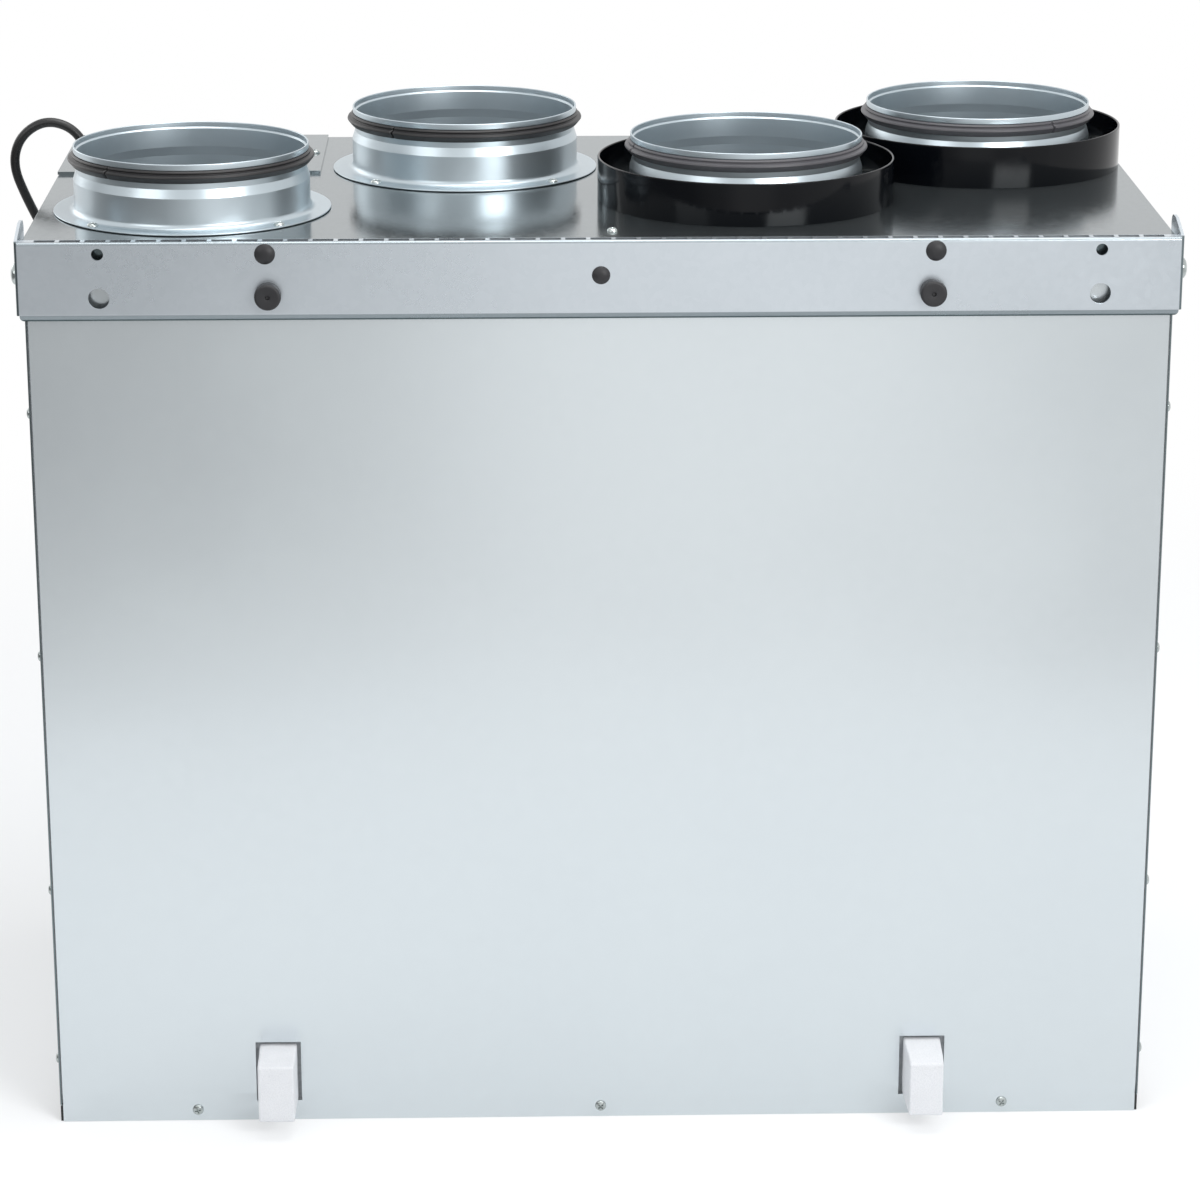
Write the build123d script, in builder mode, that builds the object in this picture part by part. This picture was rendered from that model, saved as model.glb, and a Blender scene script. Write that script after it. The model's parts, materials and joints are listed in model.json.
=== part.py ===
from build123d import *
import os
from math import pi, radians, tan

os.makedirs("parts", exist_ok=True)

# Frame: X along the width, -Y is the wall side, +Z up, origin under the middle of the casing.
# All sizes are in millimetres.

# Casing
case_width = 945.0
case_depth = 448.0
case_height = 786.0
sheet = 1.5
tray_height = 16.0
joggle_low = 18.0
joggle_high = 26.0
seam = 0.8
side_bend = 1.3
door_thickness = 22.0
door_edge = 3.0
door_gap = 2.5
lip_height = 11.5

# Ducts from left to right: the first and the third stand near the wall side, the others near the room side
wall_inset_1 = 126.9
room_inset_2 = 144.1
wall_inset_3 = 163.7
room_inset_4 = 129.0
first_inset = 130.2
last_inset = 127.8
spare_shares = [0.5684, 0.3152, 0.1164]
tube_radius = 99.6
neck_radius = 97.2
rim_radius = 99.0
spigot_wall = 1.0
flange_radius = 117.0
flange_fillet = 4.0
step_low = 27.5
step_high = 35.0
groove_low = 40.0
rim_low = 50.5
rim_high = 56.0
rim_inward = 1.2
well_depth = 150.0
block_lean = 0.5
flange_screw_clearance = 0.4
flange_screw_count = 4

# Rubber duct seal, reach beyond the neck and heights above the groove's lower end
seal_lip = 6.6
seal_lip_height = 5.6
seal_waist = 3.2
seal_waist_height = 7.2
seal_top_lip = 3.8
seal_top_height = 9.4

# Black plastic collar
collar_radius = 127.0
collar_wall = 2.0
collar_height = 36.0

# Cover plate on the top, with its lead outlet
cover_clearance = 10.5
cover_depth = 173.0
cover_thickness = 2.6

# Hanging rail and its end ears
rail_standoff = 12.0
rail_height = 66.5
rail_sheet = 2.0
rail_top_bend = 2.6
rail_low_bend = 7.0
rail_end_radius = 5.0
rail_side_gap = 2.5
ear_sheet = 2.5
ear_reach = 40.0
ear_rise = 10.0
ear_tip_start = 20.0
ear_low = 6.0
ear_bend = 2.2
ear_tip_radius = 9.0
slot_pitch = 20.6
slot_length = 17.0
slot_width = 7.6
slot_back = 0.8
slot_end_clearance = 8.0
hole_inset = 65.0
upper_hole_drop = 9.8
upper_hole_radius = 4.9
lower_hole_drop = 46.5
lower_hole_radius = 8.7

# Rubber plugs and bumpers in the rail
plug_column = 274.0
plug_drop = 10.0
plug_radius = 8.5
plug_proud = 3.4
middle_plug_drop = 29.0
middle_plug_radius = 7.5
bumper_column = 272.0
bumper_drop = 44.0
bumper_radius = 11.0
bumper_proud = 12.0
bumper_edge = 3.0
dimple_radius = 1.8
dimple_depth = 2.0

# Foam wall pads in their cut-outs
pad_column = 281.0
pad_width = 33.0
pad_height = 53.0
pad_proud = 45.0
pad_edge = 3.0
cutout_width = 39.4
cutout_height = 56.0
cutout_low = 18.0
pocket_depth = 5.0

# Screws
screw_radius = 4.8
screw_height = 2.8
screw_edge = 1.2
recess_span = 5.2
recess_width = 1.1
recess_depth = 1.3
bolt_radius = 9.0
bolt_height = 4.4
rear_screw_inset = 120.0
rear_screw_height = 10.0
side_screw_inset = 8.0
side_screw_shares = [0.0738, 0.2742, 0.5433, 0.8123]
ear_bolt_drop = 28.0
ear_bolt_inset = 12.0
top_screw_place = (10.4, 24.0)
cover_screw_inset = 8.5
cover_screw_back = 88.3

# Mains lead
cord_radius = 4.2
outlet_radius = 8.0
outlet_height = 2.2
outlet_edge = 1.2
outlet_inset = 25.0
outlet_back = 156.0
coil_inset = 52.5
coil_clearance = 66.0
coil_middle = 46.0
coil_turns = 3.25
tail_start_inset = 16.0
tail_lift = 1.7
tail_level_run = 23.0
plug_clearance = 24.0
plug_body_radius = 18.5
plug_body_length = 40.0
plug_relief_length = 24.0
plug_relief_radius = 5.6
plug_neck_radius = 8.5
pin_radius = 2.4
pin_length = 19.0
pin_spacing = 19.0

# Places worked out from the sizes above
half_width = case_width / 2
wall_side = -case_depth / 2
room_side = case_depth / 2
top_low = case_height - sheet
panel_back = wall_side + sheet
tray_back = panel_back + sheet
rail_front = wall_side - rail_standoff
rail_end = half_width + rail_side_gap
rail_low = case_height - rail_height
cover_top = case_height + cover_thickness
hole_column = rail_end - hole_inset
slot_pairs = int((rail_end - slot_end_clearance - slot_length / 2) / slot_pitch)
slot_count = 2 * slot_pairs + 1
rear_screw_spacing = half_width - rear_screw_inset
outlet_place = (-half_width + outlet_inset, room_side - outlet_back)
coil_centre = (-half_width + coil_inset, room_side + door_thickness + coil_clearance)
block_low = top_low - well_depth
duct_radius = tube_radius - spigot_wall
neck_inside = neck_radius - spigot_wall
flange_screw_circle = tube_radius + flange_fillet + screw_radius + flange_screw_clearance


spigot_depths = {
    "duct_spigot_1": wall_side + wall_inset_1,
    "duct_spigot_2": room_side - room_inset_2,
    "duct_spigot_3": wall_side + wall_inset_3,
    "duct_spigot_4": room_side - room_inset_4,
}
collared = ["duct_spigot_3", "duct_spigot_4"]


def place_spigots():
    """Return each spigot's centre: neighbours keep clear, and the width to spare is shared out."""
    depths = list(spigot_depths.values())
    reaches = [collar_radius if name in collared else flange_radius for name in spigot_depths]
    clear_runs = []
    for here, there, reach, next_reach in zip(depths, depths[1:], reaches, reaches[1:]):
        clear_square = (reach + next_reach) ** 2 - (there - here) ** 2
        clear_runs.append(max(clear_square, 0) ** 0.5)
    spare = case_width - first_inset - last_inset - sum(clear_runs)
    right = first_inset - half_width
    centres = [(right, depths[0])]
    for clear_run, share, depth in zip(clear_runs, spare_shares, depths[1:]):
        right += clear_run + share * spare
        centres.append((right, depth))
    return dict(zip(spigot_depths, centres))


spigot_places = place_spigots()
spigot_centres = list(spigot_places.values())
cover_right = spigot_places["duct_spigot_2"][0] - flange_radius - cover_clearance
cover_width = cover_right + half_width
side_screw_heights = [share * case_height for share in side_screw_shares]


def save(piece, name):
    """Label a finished piece and write it as its own file."""
    piece.part.label = name
    export_step(piece.part, f"parts/{name}.step")


# Base tray: a shallow dark tray as wide as the casing, which the sides and the rest stand on
with BuildPart() as base_tray:
    tray_depth = room_side - tray_back
    with BuildSketch(Plane.XY) as tray_sketch:
        with Locations((0, tray_back + tray_depth / 2)):
            Rectangle(case_width, tray_depth)
    extrude(amount=tray_height)
    with BuildSketch(Plane.XY.offset(sheet)) as tray_pocket:
        with Locations((0, tray_back + tray_depth / 2)):
            Rectangle(case_width - 2 * sheet, tray_depth - 2 * sheet)
    extrude(amount=tray_height - sheet, mode=Mode.SUBTRACT)
save(base_tray, "base_tray")

# Rear panel: one sheet with a joggle near the base and a cut-out round each foam pad
rear_half = half_width - sheet - seam
with BuildPart() as rear_panel:
    with BuildSketch(Plane.YZ.offset(-rear_half)) as rear_profile:
        with BuildLine() as rear_line:
            Polyline(
                (wall_side, top_low),
                (wall_side, joggle_high),
                (panel_back, joggle_low),
                (panel_back, 0),
                (tray_back, 0),
                (tray_back, joggle_low),
                (panel_back, joggle_high),
                (panel_back, top_low),
                close=True,
            )
        make_face()
    extrude(amount=2 * rear_half)
    with BuildSketch(Plane.XZ.offset(-tray_back)) as rear_cutouts:
        with Locations((0, cutout_low + cutout_height / 2)):
            with GridLocations(2 * pad_column, 1, 2, 1):
                Rectangle(cutout_width, cutout_height)
    extrude(amount=2 * sheet + seam, mode=Mode.SUBTRACT)
save(rear_panel, "rear_panel")

# Side panels: plain sheets from above the tray to the underside of the top, bent along their front edge
for side, name in [(-1, "left_side_panel"), (1, "right_side_panel")]:
    with BuildPart() as side_panel:
        with BuildSketch(Plane.XY.offset(tray_height)) as side_sketch:
            with Locations((side * (half_width - sheet / 2), 0)):
                Rectangle(sheet, case_depth)
            outer_corner = side_sketch.vertices().sort_by_distance((side * half_width, wall_side, 0))[0]
            fillet(outer_corner, radius=side_bend)
        extrude(amount=top_low - tray_height)
    save(side_panel, name)

# Top panel: a sheet with four duct openings that ends inside the sides, and a short lip above the door
with BuildPart() as top_panel:
    with BuildSketch(Plane.XY.offset(top_low)) as top_sketch:
        Rectangle(case_width - 2 * sheet, case_depth)
        with Locations(*spigot_centres):
            Circle(duct_radius, mode=Mode.SUBTRACT)
    extrude(amount=sheet)
    with BuildSketch(Plane.XY.offset(case_height - lip_height)) as lip_sketch:
        with Locations((0, room_side + sheet / 2)):
            Rectangle(case_width, sheet)
    extrude(amount=lip_height)
save(top_panel, "top_panel")

# Front panel: the plain service door on the room side
door_low = tray_height + door_gap
door_high = case_height - lip_height - door_gap
with BuildPart() as front_panel:
    with BuildSketch(Plane.XY.offset(door_low)) as door_sketch:
        with Locations((0, room_side + door_thickness / 2)):
            Rectangle(case_width, door_thickness)
    extrude(amount=door_high - door_low)
    door_face = front_panel.faces().sort_by(Axis.Y)[-1]
    fillet(door_face.edges(), radius=door_edge)
save(front_panel, "front_panel")

# Exchanger core: one insulated block for the exchanger, fans and filters, with the pad pockets
with BuildPart() as exchanger_core:
    with BuildSketch(Plane.XY.offset(sheet)) as core_foot:
        with Locations((0, (tray_back + room_side) / 2)):
            Rectangle(case_width - 2 * sheet, room_side - tray_back - 2 * sheet)
    extrude(amount=joggle_high - sheet)
    with BuildSketch(Plane.XY.offset(joggle_high)) as core_body:
        with Locations((0, (panel_back + room_side) / 2)):
            Rectangle(case_width - 2 * sheet, room_side - panel_back)
    extrude(amount=block_low - joggle_high)
    with BuildSketch(Plane.XZ.offset(-wall_side)) as core_pockets:
        with Locations((0, cutout_low + cutout_height / 2)):
            with GridLocations(2 * pad_column, 1, 2, 1):
                Rectangle(cutout_width, cutout_height)
    extrude(amount=-(sheet + pocket_depth), mode=Mode.SUBTRACT)
save(exchanger_core, "exchanger_core")



def block_border(near, far):
    """Return where the border midway between two wells lies, at the rear panel and at the door."""
    middle_x = (near[0] + far[0]) / 2
    middle_y = (near[1] + far[1]) / 2
    lean = block_lean * (far[1] - near[1]) / (far[0] - near[0])
    return (middle_x - lean * (panel_back - middle_y), middle_x - lean * (room_side - middle_y))


# Duct blocks: four insulated blocks side by side under the top, each with one round well
block_borders = [(-half_width + sheet, -half_width + sheet)]
for near, far in zip(spigot_centres, spigot_centres[1:]):
    block_borders.append(block_border(near, far))
block_borders.append((half_width - sheet, half_width - sheet))
for number, centre in enumerate(spigot_centres):
    left_near, left_far = block_borders[number]
    right_near, right_far = block_borders[number + 1]
    with BuildPart() as duct_block:
        with BuildSketch(Plane.XY.offset(block_low)) as block_sketch:
            with BuildLine() as block_line:
                Polyline(
                    (left_near, panel_back),
                    (right_near, panel_back),
                    (right_far, room_side),
                    (left_far, room_side),
                    close=True,
                )
            make_face()
            with Locations(centre):
                Circle(duct_radius, mode=Mode.SUBTRACT)
        extrude(amount=well_depth)
    save(duct_block, f"duct_block_{number + 1}")

# Duct spigots: a pressed flange, a tube that steps in to a neck, and a rolled rim
for name in spigot_places:
    with BuildPart() as spigot:
        centre_x, centre_y = spigot_places[name]
        with BuildSketch(Plane.XZ.offset(-centre_y)) as spigot_profile:
            with BuildLine() as spigot_line:
                Polyline(
                    (centre_x + duct_radius, case_height),
                    (centre_x + flange_radius, case_height),
                    (centre_x + flange_radius, case_height + spigot_wall),
                    (centre_x + tube_radius, case_height + spigot_wall),
                    (centre_x + tube_radius, case_height + step_low),
                    (centre_x + neck_radius, case_height + step_high),
                    (centre_x + neck_radius, case_height + rim_low),
                    (centre_x + rim_radius, case_height + rim_low),
                    (centre_x + rim_radius, case_height + rim_high),
                    (centre_x + neck_inside, case_height + rim_high),
                    (centre_x + neck_inside, case_height + step_high),
                    (centre_x + duct_radius, case_height + step_low),
                    close=True,
                )
            make_face()
            foot = (centre_x + tube_radius, case_height + spigot_wall, 0)
            fillet(spigot_profile.vertices().sort_by_distance(foot)[0], radius=flange_fillet)
            rim_corner = (centre_x + rim_radius, case_height + rim_high, 0)
            fillet(spigot_profile.vertices().sort_by_distance(rim_corner)[0], radius=rim_inward)
        revolve(axis=Axis((centre_x, centre_y, 0), (0, 0, 1)), revolution_arc=360)
    save(spigot, name)

# Duct seals: a double-lipped rubber ring round each neck, between the step and the rim
for name in spigot_places:
    with BuildPart() as seal:
        centre_x, centre_y = spigot_places[name]
        seal_foot = centre_x + neck_radius
        seal_base = case_height + groove_low
        with BuildSketch(Plane.XZ.offset(-centre_y)) as seal_profile:
            with BuildLine() as seal_line:
                Polyline(
                    (seal_foot, seal_base),
                    (seal_foot + seal_waist, seal_base + 0.2 * seal_lip_height),
                    (seal_foot + seal_lip, seal_base + seal_lip_height),
                    (seal_foot + seal_waist, seal_base + seal_waist_height),
                    (seal_foot + seal_top_lip, seal_base + seal_top_height),
                    (seal_foot, case_height + rim_low),
                    close=True,
                )
            make_face()
        revolve(axis=Axis((centre_x, centre_y, 0), (0, 0, 1)), revolution_arc=360)
    save(seal, name.replace("spigot", "seal"))

# Collars: thin black rings that stand on the top round two of the spigots
for name in collared:
    with BuildPart() as collar:
        with BuildSketch(Plane.XY.offset(case_height)) as collar_sketch:
            with Locations(spigot_places[name]):
                Circle(collar_radius)
                Circle(collar_radius - collar_wall, mode=Mode.SUBTRACT)
        extrude(amount=collar_height)
    save(collar, name.replace("spigot", "collar"))

# Cover plate over the wiring, at the far left of the top
with BuildPart() as cover_plate:
    with BuildSketch(Plane.XY.offset(case_height)) as cover_sketch:
        with Locations((cover_right - cover_width / 2, room_side - cover_depth / 2)):
            Rectangle(cover_width, cover_depth)
    extrude(amount=cover_thickness)
save(cover_plate, "cover_plate")

# Hanging rail: a channel across the wall side, with a slotted top bend and four hanging holes
with BuildPart() as hanging_rail:
    with BuildSketch(Plane.YZ.offset(-rail_end)) as rail_profile:
        with Locations(((rail_front + wall_side) / 2, (rail_low + case_height) / 2)):
            Rectangle(rail_standoff, rail_height)
        low_corner = rail_profile.vertices().sort_by_distance((rail_front, rail_low, 0))[0]
        fillet(low_corner, radius=rail_low_bend)
        top_corner = rail_profile.vertices().sort_by_distance((rail_front, case_height, 0))[0]
        fillet(top_corner, radius=rail_top_bend)
        with BuildSketch(Plane.YZ.offset(-rail_end), mode=Mode.PRIVATE) as rail_inside:
            inside_depth = rail_standoff - rail_sheet
            with Locations((wall_side - inside_depth / 2, (rail_low + case_height) / 2)):
                Rectangle(inside_depth, rail_height - 2 * rail_sheet)
            inner_corner = rail_inside.vertices().sort_by_distance((rail_front, rail_low, 0))[0]
            fillet(inner_corner, radius=rail_low_bend - rail_sheet)
        add(rail_inside.sketch_local, mode=Mode.SUBTRACT)
    extrude(amount=2 * rail_end)
    with BuildSketch(Plane.XZ.offset(-wall_side)) as rail_outline:
        with Locations((0, (rail_low + case_height) / 2)):
            Rectangle(2 * rail_end, rail_height)
        fillet(rail_outline.vertices().group_by(Axis.Y)[0], radius=rail_end_radius)
    extrude(amount=rail_standoff, mode=Mode.INTERSECT)
    slot_middle = wall_side - slot_back - slot_width / 2
    with BuildSketch(Plane.XY.offset(case_height)) as rail_slots:
        with Locations((0, slot_middle)):
            with GridLocations(slot_pitch, 1, slot_count, 1):
                Rectangle(slot_length, slot_width)
    extrude(amount=-rail_sheet, mode=Mode.SUBTRACT)
    with BuildSketch(Plane.XZ.offset(-rail_front)) as rail_holes:
        with Locations((0, case_height - upper_hole_drop)):
            with GridLocations(2 * hole_column, 1, 2, 1):
                Circle(upper_hole_radius)
        with Locations((0, case_height - lower_hole_drop)):
            with GridLocations(2 * hole_column, 1, 2, 1):
                Circle(lower_hole_radius)
    extrude(amount=-rail_sheet, mode=Mode.SUBTRACT)
save(hanging_rail, "hanging_rail")

# Rail ears: side plates that go back along the casing, each with a rounded front edge and a raised round tip
ear_back = wall_side + ear_reach
for side, name in [(-1, "rail_ear_left"), (1, "rail_ear_right")]:
    with BuildPart() as ear:
        ear_start = rail_end if side > 0 else -rail_end - ear_sheet
        with BuildSketch(Plane.YZ.offset(ear_start)) as ear_profile:
            with BuildLine() as ear_line:
                Polyline(
                    (rail_front, rail_low + ear_low),
                    (rail_front, case_height),
                    (ear_back - ear_tip_start, case_height + ear_rise),
                    (ear_back, case_height + ear_rise),
                    (ear_back, rail_low + ear_tip_start),
                    (ear_back - ear_tip_start, rail_low + ear_low),
                    close=True,
                )
            make_face()
            tip = (ear_back, case_height + ear_rise, 0)
            fillet(ear_profile.vertices().sort_by_distance(tip)[0], radius=ear_tip_radius)
            rise = (ear_back - ear_tip_start, case_height + ear_rise, 0)
            fillet(ear_profile.vertices().sort_by_distance(rise)[0], radius=ear_tip_radius)
        extrude(amount=ear_sheet)
        ear_outside = side * (rail_end + ear_sheet)
        ear_front = ear.edges().sort_by_distance((ear_outside, rail_front, (rail_low + case_height) / 2))[0]
        fillet(ear_front, radius=ear_bend)
    save(ear, name)

# Rubber plugs: shallow domes in the rail's spare holes
with BuildPart() as rail_plugs:
    plug_places = [
        (-plug_column, plug_drop, plug_radius),
        (plug_column, plug_drop, plug_radius),
        (0.0, middle_plug_drop, middle_plug_radius),
    ]
    for place_x, drop, radius in plug_places:
        with BuildSketch(Plane.XZ.offset(-rail_front)) as plug_sketch:
            with Locations((place_x, case_height - drop)):
                Circle(radius)
        extrude(amount=plug_proud, taper=35)
save(rail_plugs, "rail_plugs")

# Rubber bumpers: round buttons with a centre dimple that keep the rail off the wall
with BuildPart() as rail_bumpers:
    with BuildSketch(Plane.XZ.offset(-rail_front)) as bumper_sketch:
        with Locations((0, case_height - bumper_drop)):
            with GridLocations(2 * bumper_column, 1, 2, 1):
                Circle(bumper_radius)
    extrude(amount=bumper_proud)
    fillet(rail_bumpers.edges().group_by(Axis.Y)[0], radius=bumper_edge)
    with BuildSketch(Plane.XZ.offset(bumper_proud - rail_front)) as dimple_sketch:
        with Locations((0, case_height - bumper_drop)):
            with GridLocations(2 * bumper_column, 1, 2, 1):
                Circle(dimple_radius)
    extrude(amount=-dimple_depth, mode=Mode.SUBTRACT)
save(rail_bumpers, "rail_bumpers")

# Foam pads: white blocks that stand out of the cut-outs and rest on the wall
pad_length = pad_proud + sheet + pocket_depth
for side, name in [(-1, "wall_pad_left"), (1, "wall_pad_right")]:
    with BuildPart() as pad:
        with BuildSketch(Plane.XY.offset(cutout_low)) as pad_sketch:
            with Locations((side * pad_column, wall_side - pad_proud + pad_length / 2)):
                Rectangle(pad_width, pad_length)
        extrude(amount=pad_height)
        pad_front = pad.faces().sort_by(Axis.Y)[0]
        fillet(pad_front.edges(), radius=pad_edge)
    save(pad, name)


def screw_head(radius, height, recessed=True):
    """Return one domed head standing on its own XY plane, with a cross recess when asked."""
    with BuildPart(mode=Mode.PRIVATE) as head:
        with BuildSketch():
            Circle(radius)
        extrude(amount=height)
        fillet(head.edges().group_by(Axis.Z)[-1], radius=min(height, radius) * screw_edge / screw_height)
        if recessed:
            with BuildSketch(Plane.XY.offset(height)):
                Rectangle(recess_span, recess_width)
                Rectangle(recess_width, recess_span)
            extrude(amount=-recess_depth, mode=Mode.SUBTRACT)
    return head.part


pan_head = screw_head(screw_radius, screw_height)
bolt_head = screw_head(bolt_radius, bolt_height, recessed=False)

# Rear screws, along the base
rear_head_plane = Plane(origin=(0, panel_back, rear_screw_height), x_dir=(1, 0, 0), z_dir=(0, -1, 0))
with BuildPart() as rear_screws:
    with Locations(rear_head_plane):
        with GridLocations(rear_screw_spacing, 1, 3, 1):
            add(pan_head)
save(rear_screws, "rear_screws")

# Side screws, in a column near the wall on both sides
with BuildPart() as side_screws:
    for side in (-1, 1):
        for height in side_screw_heights:
            place = (side * half_width, wall_side + side_screw_inset, height)
            with Locations(Plane(origin=place, x_dir=(0, 1, 0), z_dir=(side, 0, 0))):
                add(pan_head)
save(side_screws, "side_screws")

# Ear bolts, one on the outer face of each ear
with BuildPart() as ear_bolts:
    for side in (-1, 1):
        place = (
            side * (rail_end + ear_sheet),
            rail_front + ear_bolt_inset,
            case_height - ear_bolt_drop,
        )
        with Locations(Plane(origin=place, x_dir=(0, 1, 0), z_dir=(side, 0, 0))):
            add(bolt_head)
save(ear_bolts, "ear_bolts")

# Flange screws, evenly round each spigot's flange
with BuildPart() as flange_screws:
    for centre in spigot_centres:
        with Locations((centre[0], centre[1], case_height + spigot_wall)):
            with PolarLocations(flange_screw_circle, flange_screw_count, start_angle=45):
                add(pan_head)
save(flange_screws, "flange_screws")

# Top screw and cover screw
with BuildPart() as top_screw:
    with Locations((top_screw_place[0], wall_side + top_screw_place[1], case_height)):
        add(pan_head)
save(top_screw, "top_screw")

with BuildPart() as cover_screw:
    with Locations((cover_right - cover_screw_inset, room_side - cover_screw_back, cover_top)):
        add(pan_head)
save(cover_screw, "cover_screw")

# Lead outlet: a round grommet on the cover plate
with BuildPart() as lead_outlet:
    with BuildSketch(Plane.XY.offset(cover_top)) as outlet_sketch:
        with Locations(outlet_place):
            Circle(outlet_radius)
    extrude(amount=outlet_height)
    fillet(lead_outlet.edges().group_by(Axis.Z)[-1], radius=outlet_edge)
save(lead_outlet, "lead_outlet")

# Mains lead, from the outlet over the left edge and down the side to the floor behind.
# Each point is its distance right of the left side, its distance behind the room side, and its height
floor_line = cord_radius
lead_over_edge = [
    (outlet_inset, -outlet_back, cover_top + outlet_height),
    (25.0, -156.0, case_height + 21.0),
    (11.5, -156.0, case_height + 40.0),
    (-12.5, -155.5, case_height + 45.5),
    (-34.5, -155.0, case_height + 30.5),
    (-41.5, -154.5, case_height + 5.5),
    (-31.0, -153.5, case_height - 24.0),
    (-14.5, -152.0, case_height - 59.0),
    (-8.7, -148.0, case_height - 114.0),
]
lead_down_side = [
    (-7.5, -140.0, 0.7506 * case_height),
    (-7.9, -128.0, 0.6081 * case_height),
    (-8.5, -111.0, 0.4835 * case_height),
    (-9.1, -89.0, 0.36 * case_height),
    (-9.5, -64.0, 0.248 * case_height),
    (-9.7, -40.0, 0.1527 * case_height),
]
lead_on_floor = [
    (-9.5, -18.0, 62.0),
    (-8.5, 5.0, 20.0),
    (-6.0, 34.0, floor_line),
    (-0.5, 64.0, floor_line),
]
lead_route = lead_over_edge + lead_down_side + lead_on_floor
cord_points = [(right - half_width, room_side + behind, height) for right, behind, height in lead_route]


def bend_radii(points):
    """Return each corner's arc radius: 0.45 of its shorter run over the tangent of half its turn."""
    radii = []
    for before, corner, after in zip(points, points[1:], points[2:]):
        run_in = Vector(*corner) - Vector(*before)
        run_out = Vector(*after) - Vector(*corner)
        half_turn = radians(run_in.get_angle(run_out)) / 2
        radii.append(0.45 * min(run_in.length, run_out.length) / tan(half_turn))
    return radii


cord_radii = bend_radii(cord_points)
with BuildPart() as mains_cord:
    with BuildLine() as cord_line:
        FilletPolyline(*cord_points, radius=cord_radii)
    cord_start = Plane(origin=cord_line.line @ 0, z_dir=cord_line.line % 0)
    with BuildSketch(cord_start) as cord_section:
        Circle(cord_radius)
    sweep()
save(mains_cord, "mains_cord")

# Coil: the outer shape of the lead's spare turns, wound flat behind the casing
coil_top = 2 * cord_radius + cord_radius * 3 ** 0.5
with BuildPart() as mains_cord_coil:
    with BuildSketch(Plane.XZ.offset(-coil_centre[1])) as coil_profile:
        with BuildLine() as coil_line:
            Polyline(
                (coil_centre[0] + coil_middle - 2 * cord_radius, 0),
                (coil_centre[0] + coil_middle + 2 * cord_radius, 0),
                (coil_centre[0] + coil_middle + 2 * cord_radius, cord_radius),
                (coil_centre[0] + coil_middle + cord_radius, coil_top),
                (coil_centre[0] + coil_middle - cord_radius, coil_top),
                (coil_centre[0] + coil_middle - 2 * cord_radius, cord_radius),
                close=True,
            )
        make_face()
    revolve(axis=Axis((coil_centre[0], coil_centre[1], 0), (0, 0, 1)), revolution_arc=360)
save(mains_cord_coil, "mains_cord_coil")

# Tail: the short stretch from the coil to the plug
tail_y = coil_centre[1] + coil_middle
plug_back = coil_centre[0] + coil_middle + plug_clearance
tail_points = [
    (coil_centre[0] + coil_middle - tail_start_inset, tail_y, coil_top - cord_radius + tail_lift),
    (plug_back - tail_level_run, tail_y, plug_body_radius),
    (plug_back, tail_y, plug_body_radius),
]
tail_radii = bend_radii(tail_points)
with BuildPart() as mains_cord_tail:
    with BuildLine() as tail_line:
        FilletPolyline(*tail_points, radius=tail_radii)
    tail_start = Plane(origin=tail_line.line @ 0, z_dir=tail_line.line % 0)
    with BuildSketch(tail_start) as tail_section:
        Circle(cord_radius)
    sweep()
save(mains_cord_tail, "mains_cord_tail")

# Plug: a round moulded body with a tapered strain relief, lying on the floor
with BuildPart() as mains_plug:
    relief_end = plug_back + plug_relief_length
    plug_face = relief_end + plug_body_length
    with BuildSketch(Plane.XY.offset(plug_body_radius)) as plug_profile:
        with BuildLine() as plug_line:
            Polyline(
                (plug_back, tail_y),
                (plug_back, tail_y + plug_relief_radius),
                (relief_end, tail_y + plug_neck_radius),
                (relief_end + 0.35 * plug_body_length, tail_y + plug_body_radius),
                (plug_face, tail_y + plug_body_radius),
                (plug_face, tail_y),
                close=True,
            )
        make_face()
    revolve(axis=Axis((plug_back, tail_y, plug_body_radius), (1, 0, 0)), revolution_arc=360)
save(mains_plug, "mains_plug")

with BuildPart() as plug_pins:
    with BuildSketch(Plane.YZ.offset(plug_face)) as pin_sketch:
        with Locations((tail_y, plug_body_radius)):
            with GridLocations(pin_spacing, 1, 2, 1):
                Circle(pin_radius)
    extrude(amount=pin_length)
save(plug_pins, "plug_pins")


def path_length(path):
    """Return the length of a lead's path, summed over its runs and arcs."""
    return sum(edge.length for edge in path.edges())


cord_length = path_length(cord_line.line)
tail_length = path_length(tail_line.line)
coil_length = coil_turns * 2 * pi * coil_middle
print("cord radii", [round(value, 1) for value in cord_radii + tail_radii])
print("run length", round(cord_length, 1), "tail length", round(tail_length, 1))
print("coil length", round(coil_length, 1))
print("whole lead", round(cord_length + coil_length + tail_length, 1))
for label, cord, length in [
    ("lead", mains_cord, cord_length),
    ("tail", mains_cord_tail, tail_length),
]:
    print(label, "volume ratio", round(cord.part.volume / (pi * cord_radius ** 2 * length), 4))
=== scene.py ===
"""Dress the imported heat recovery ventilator: its finishes, spigots, seals, rubber parts, pads and mains lead.

All sizes are in metres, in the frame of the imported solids: the origin is on the floor under the middle of the
casing, +X points right and -Y towards the viewer in the photographed view, and +Z points up.
"""

import json
import logging
import math
from dataclasses import dataclass
from enum import Enum
from typing import Any

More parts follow.
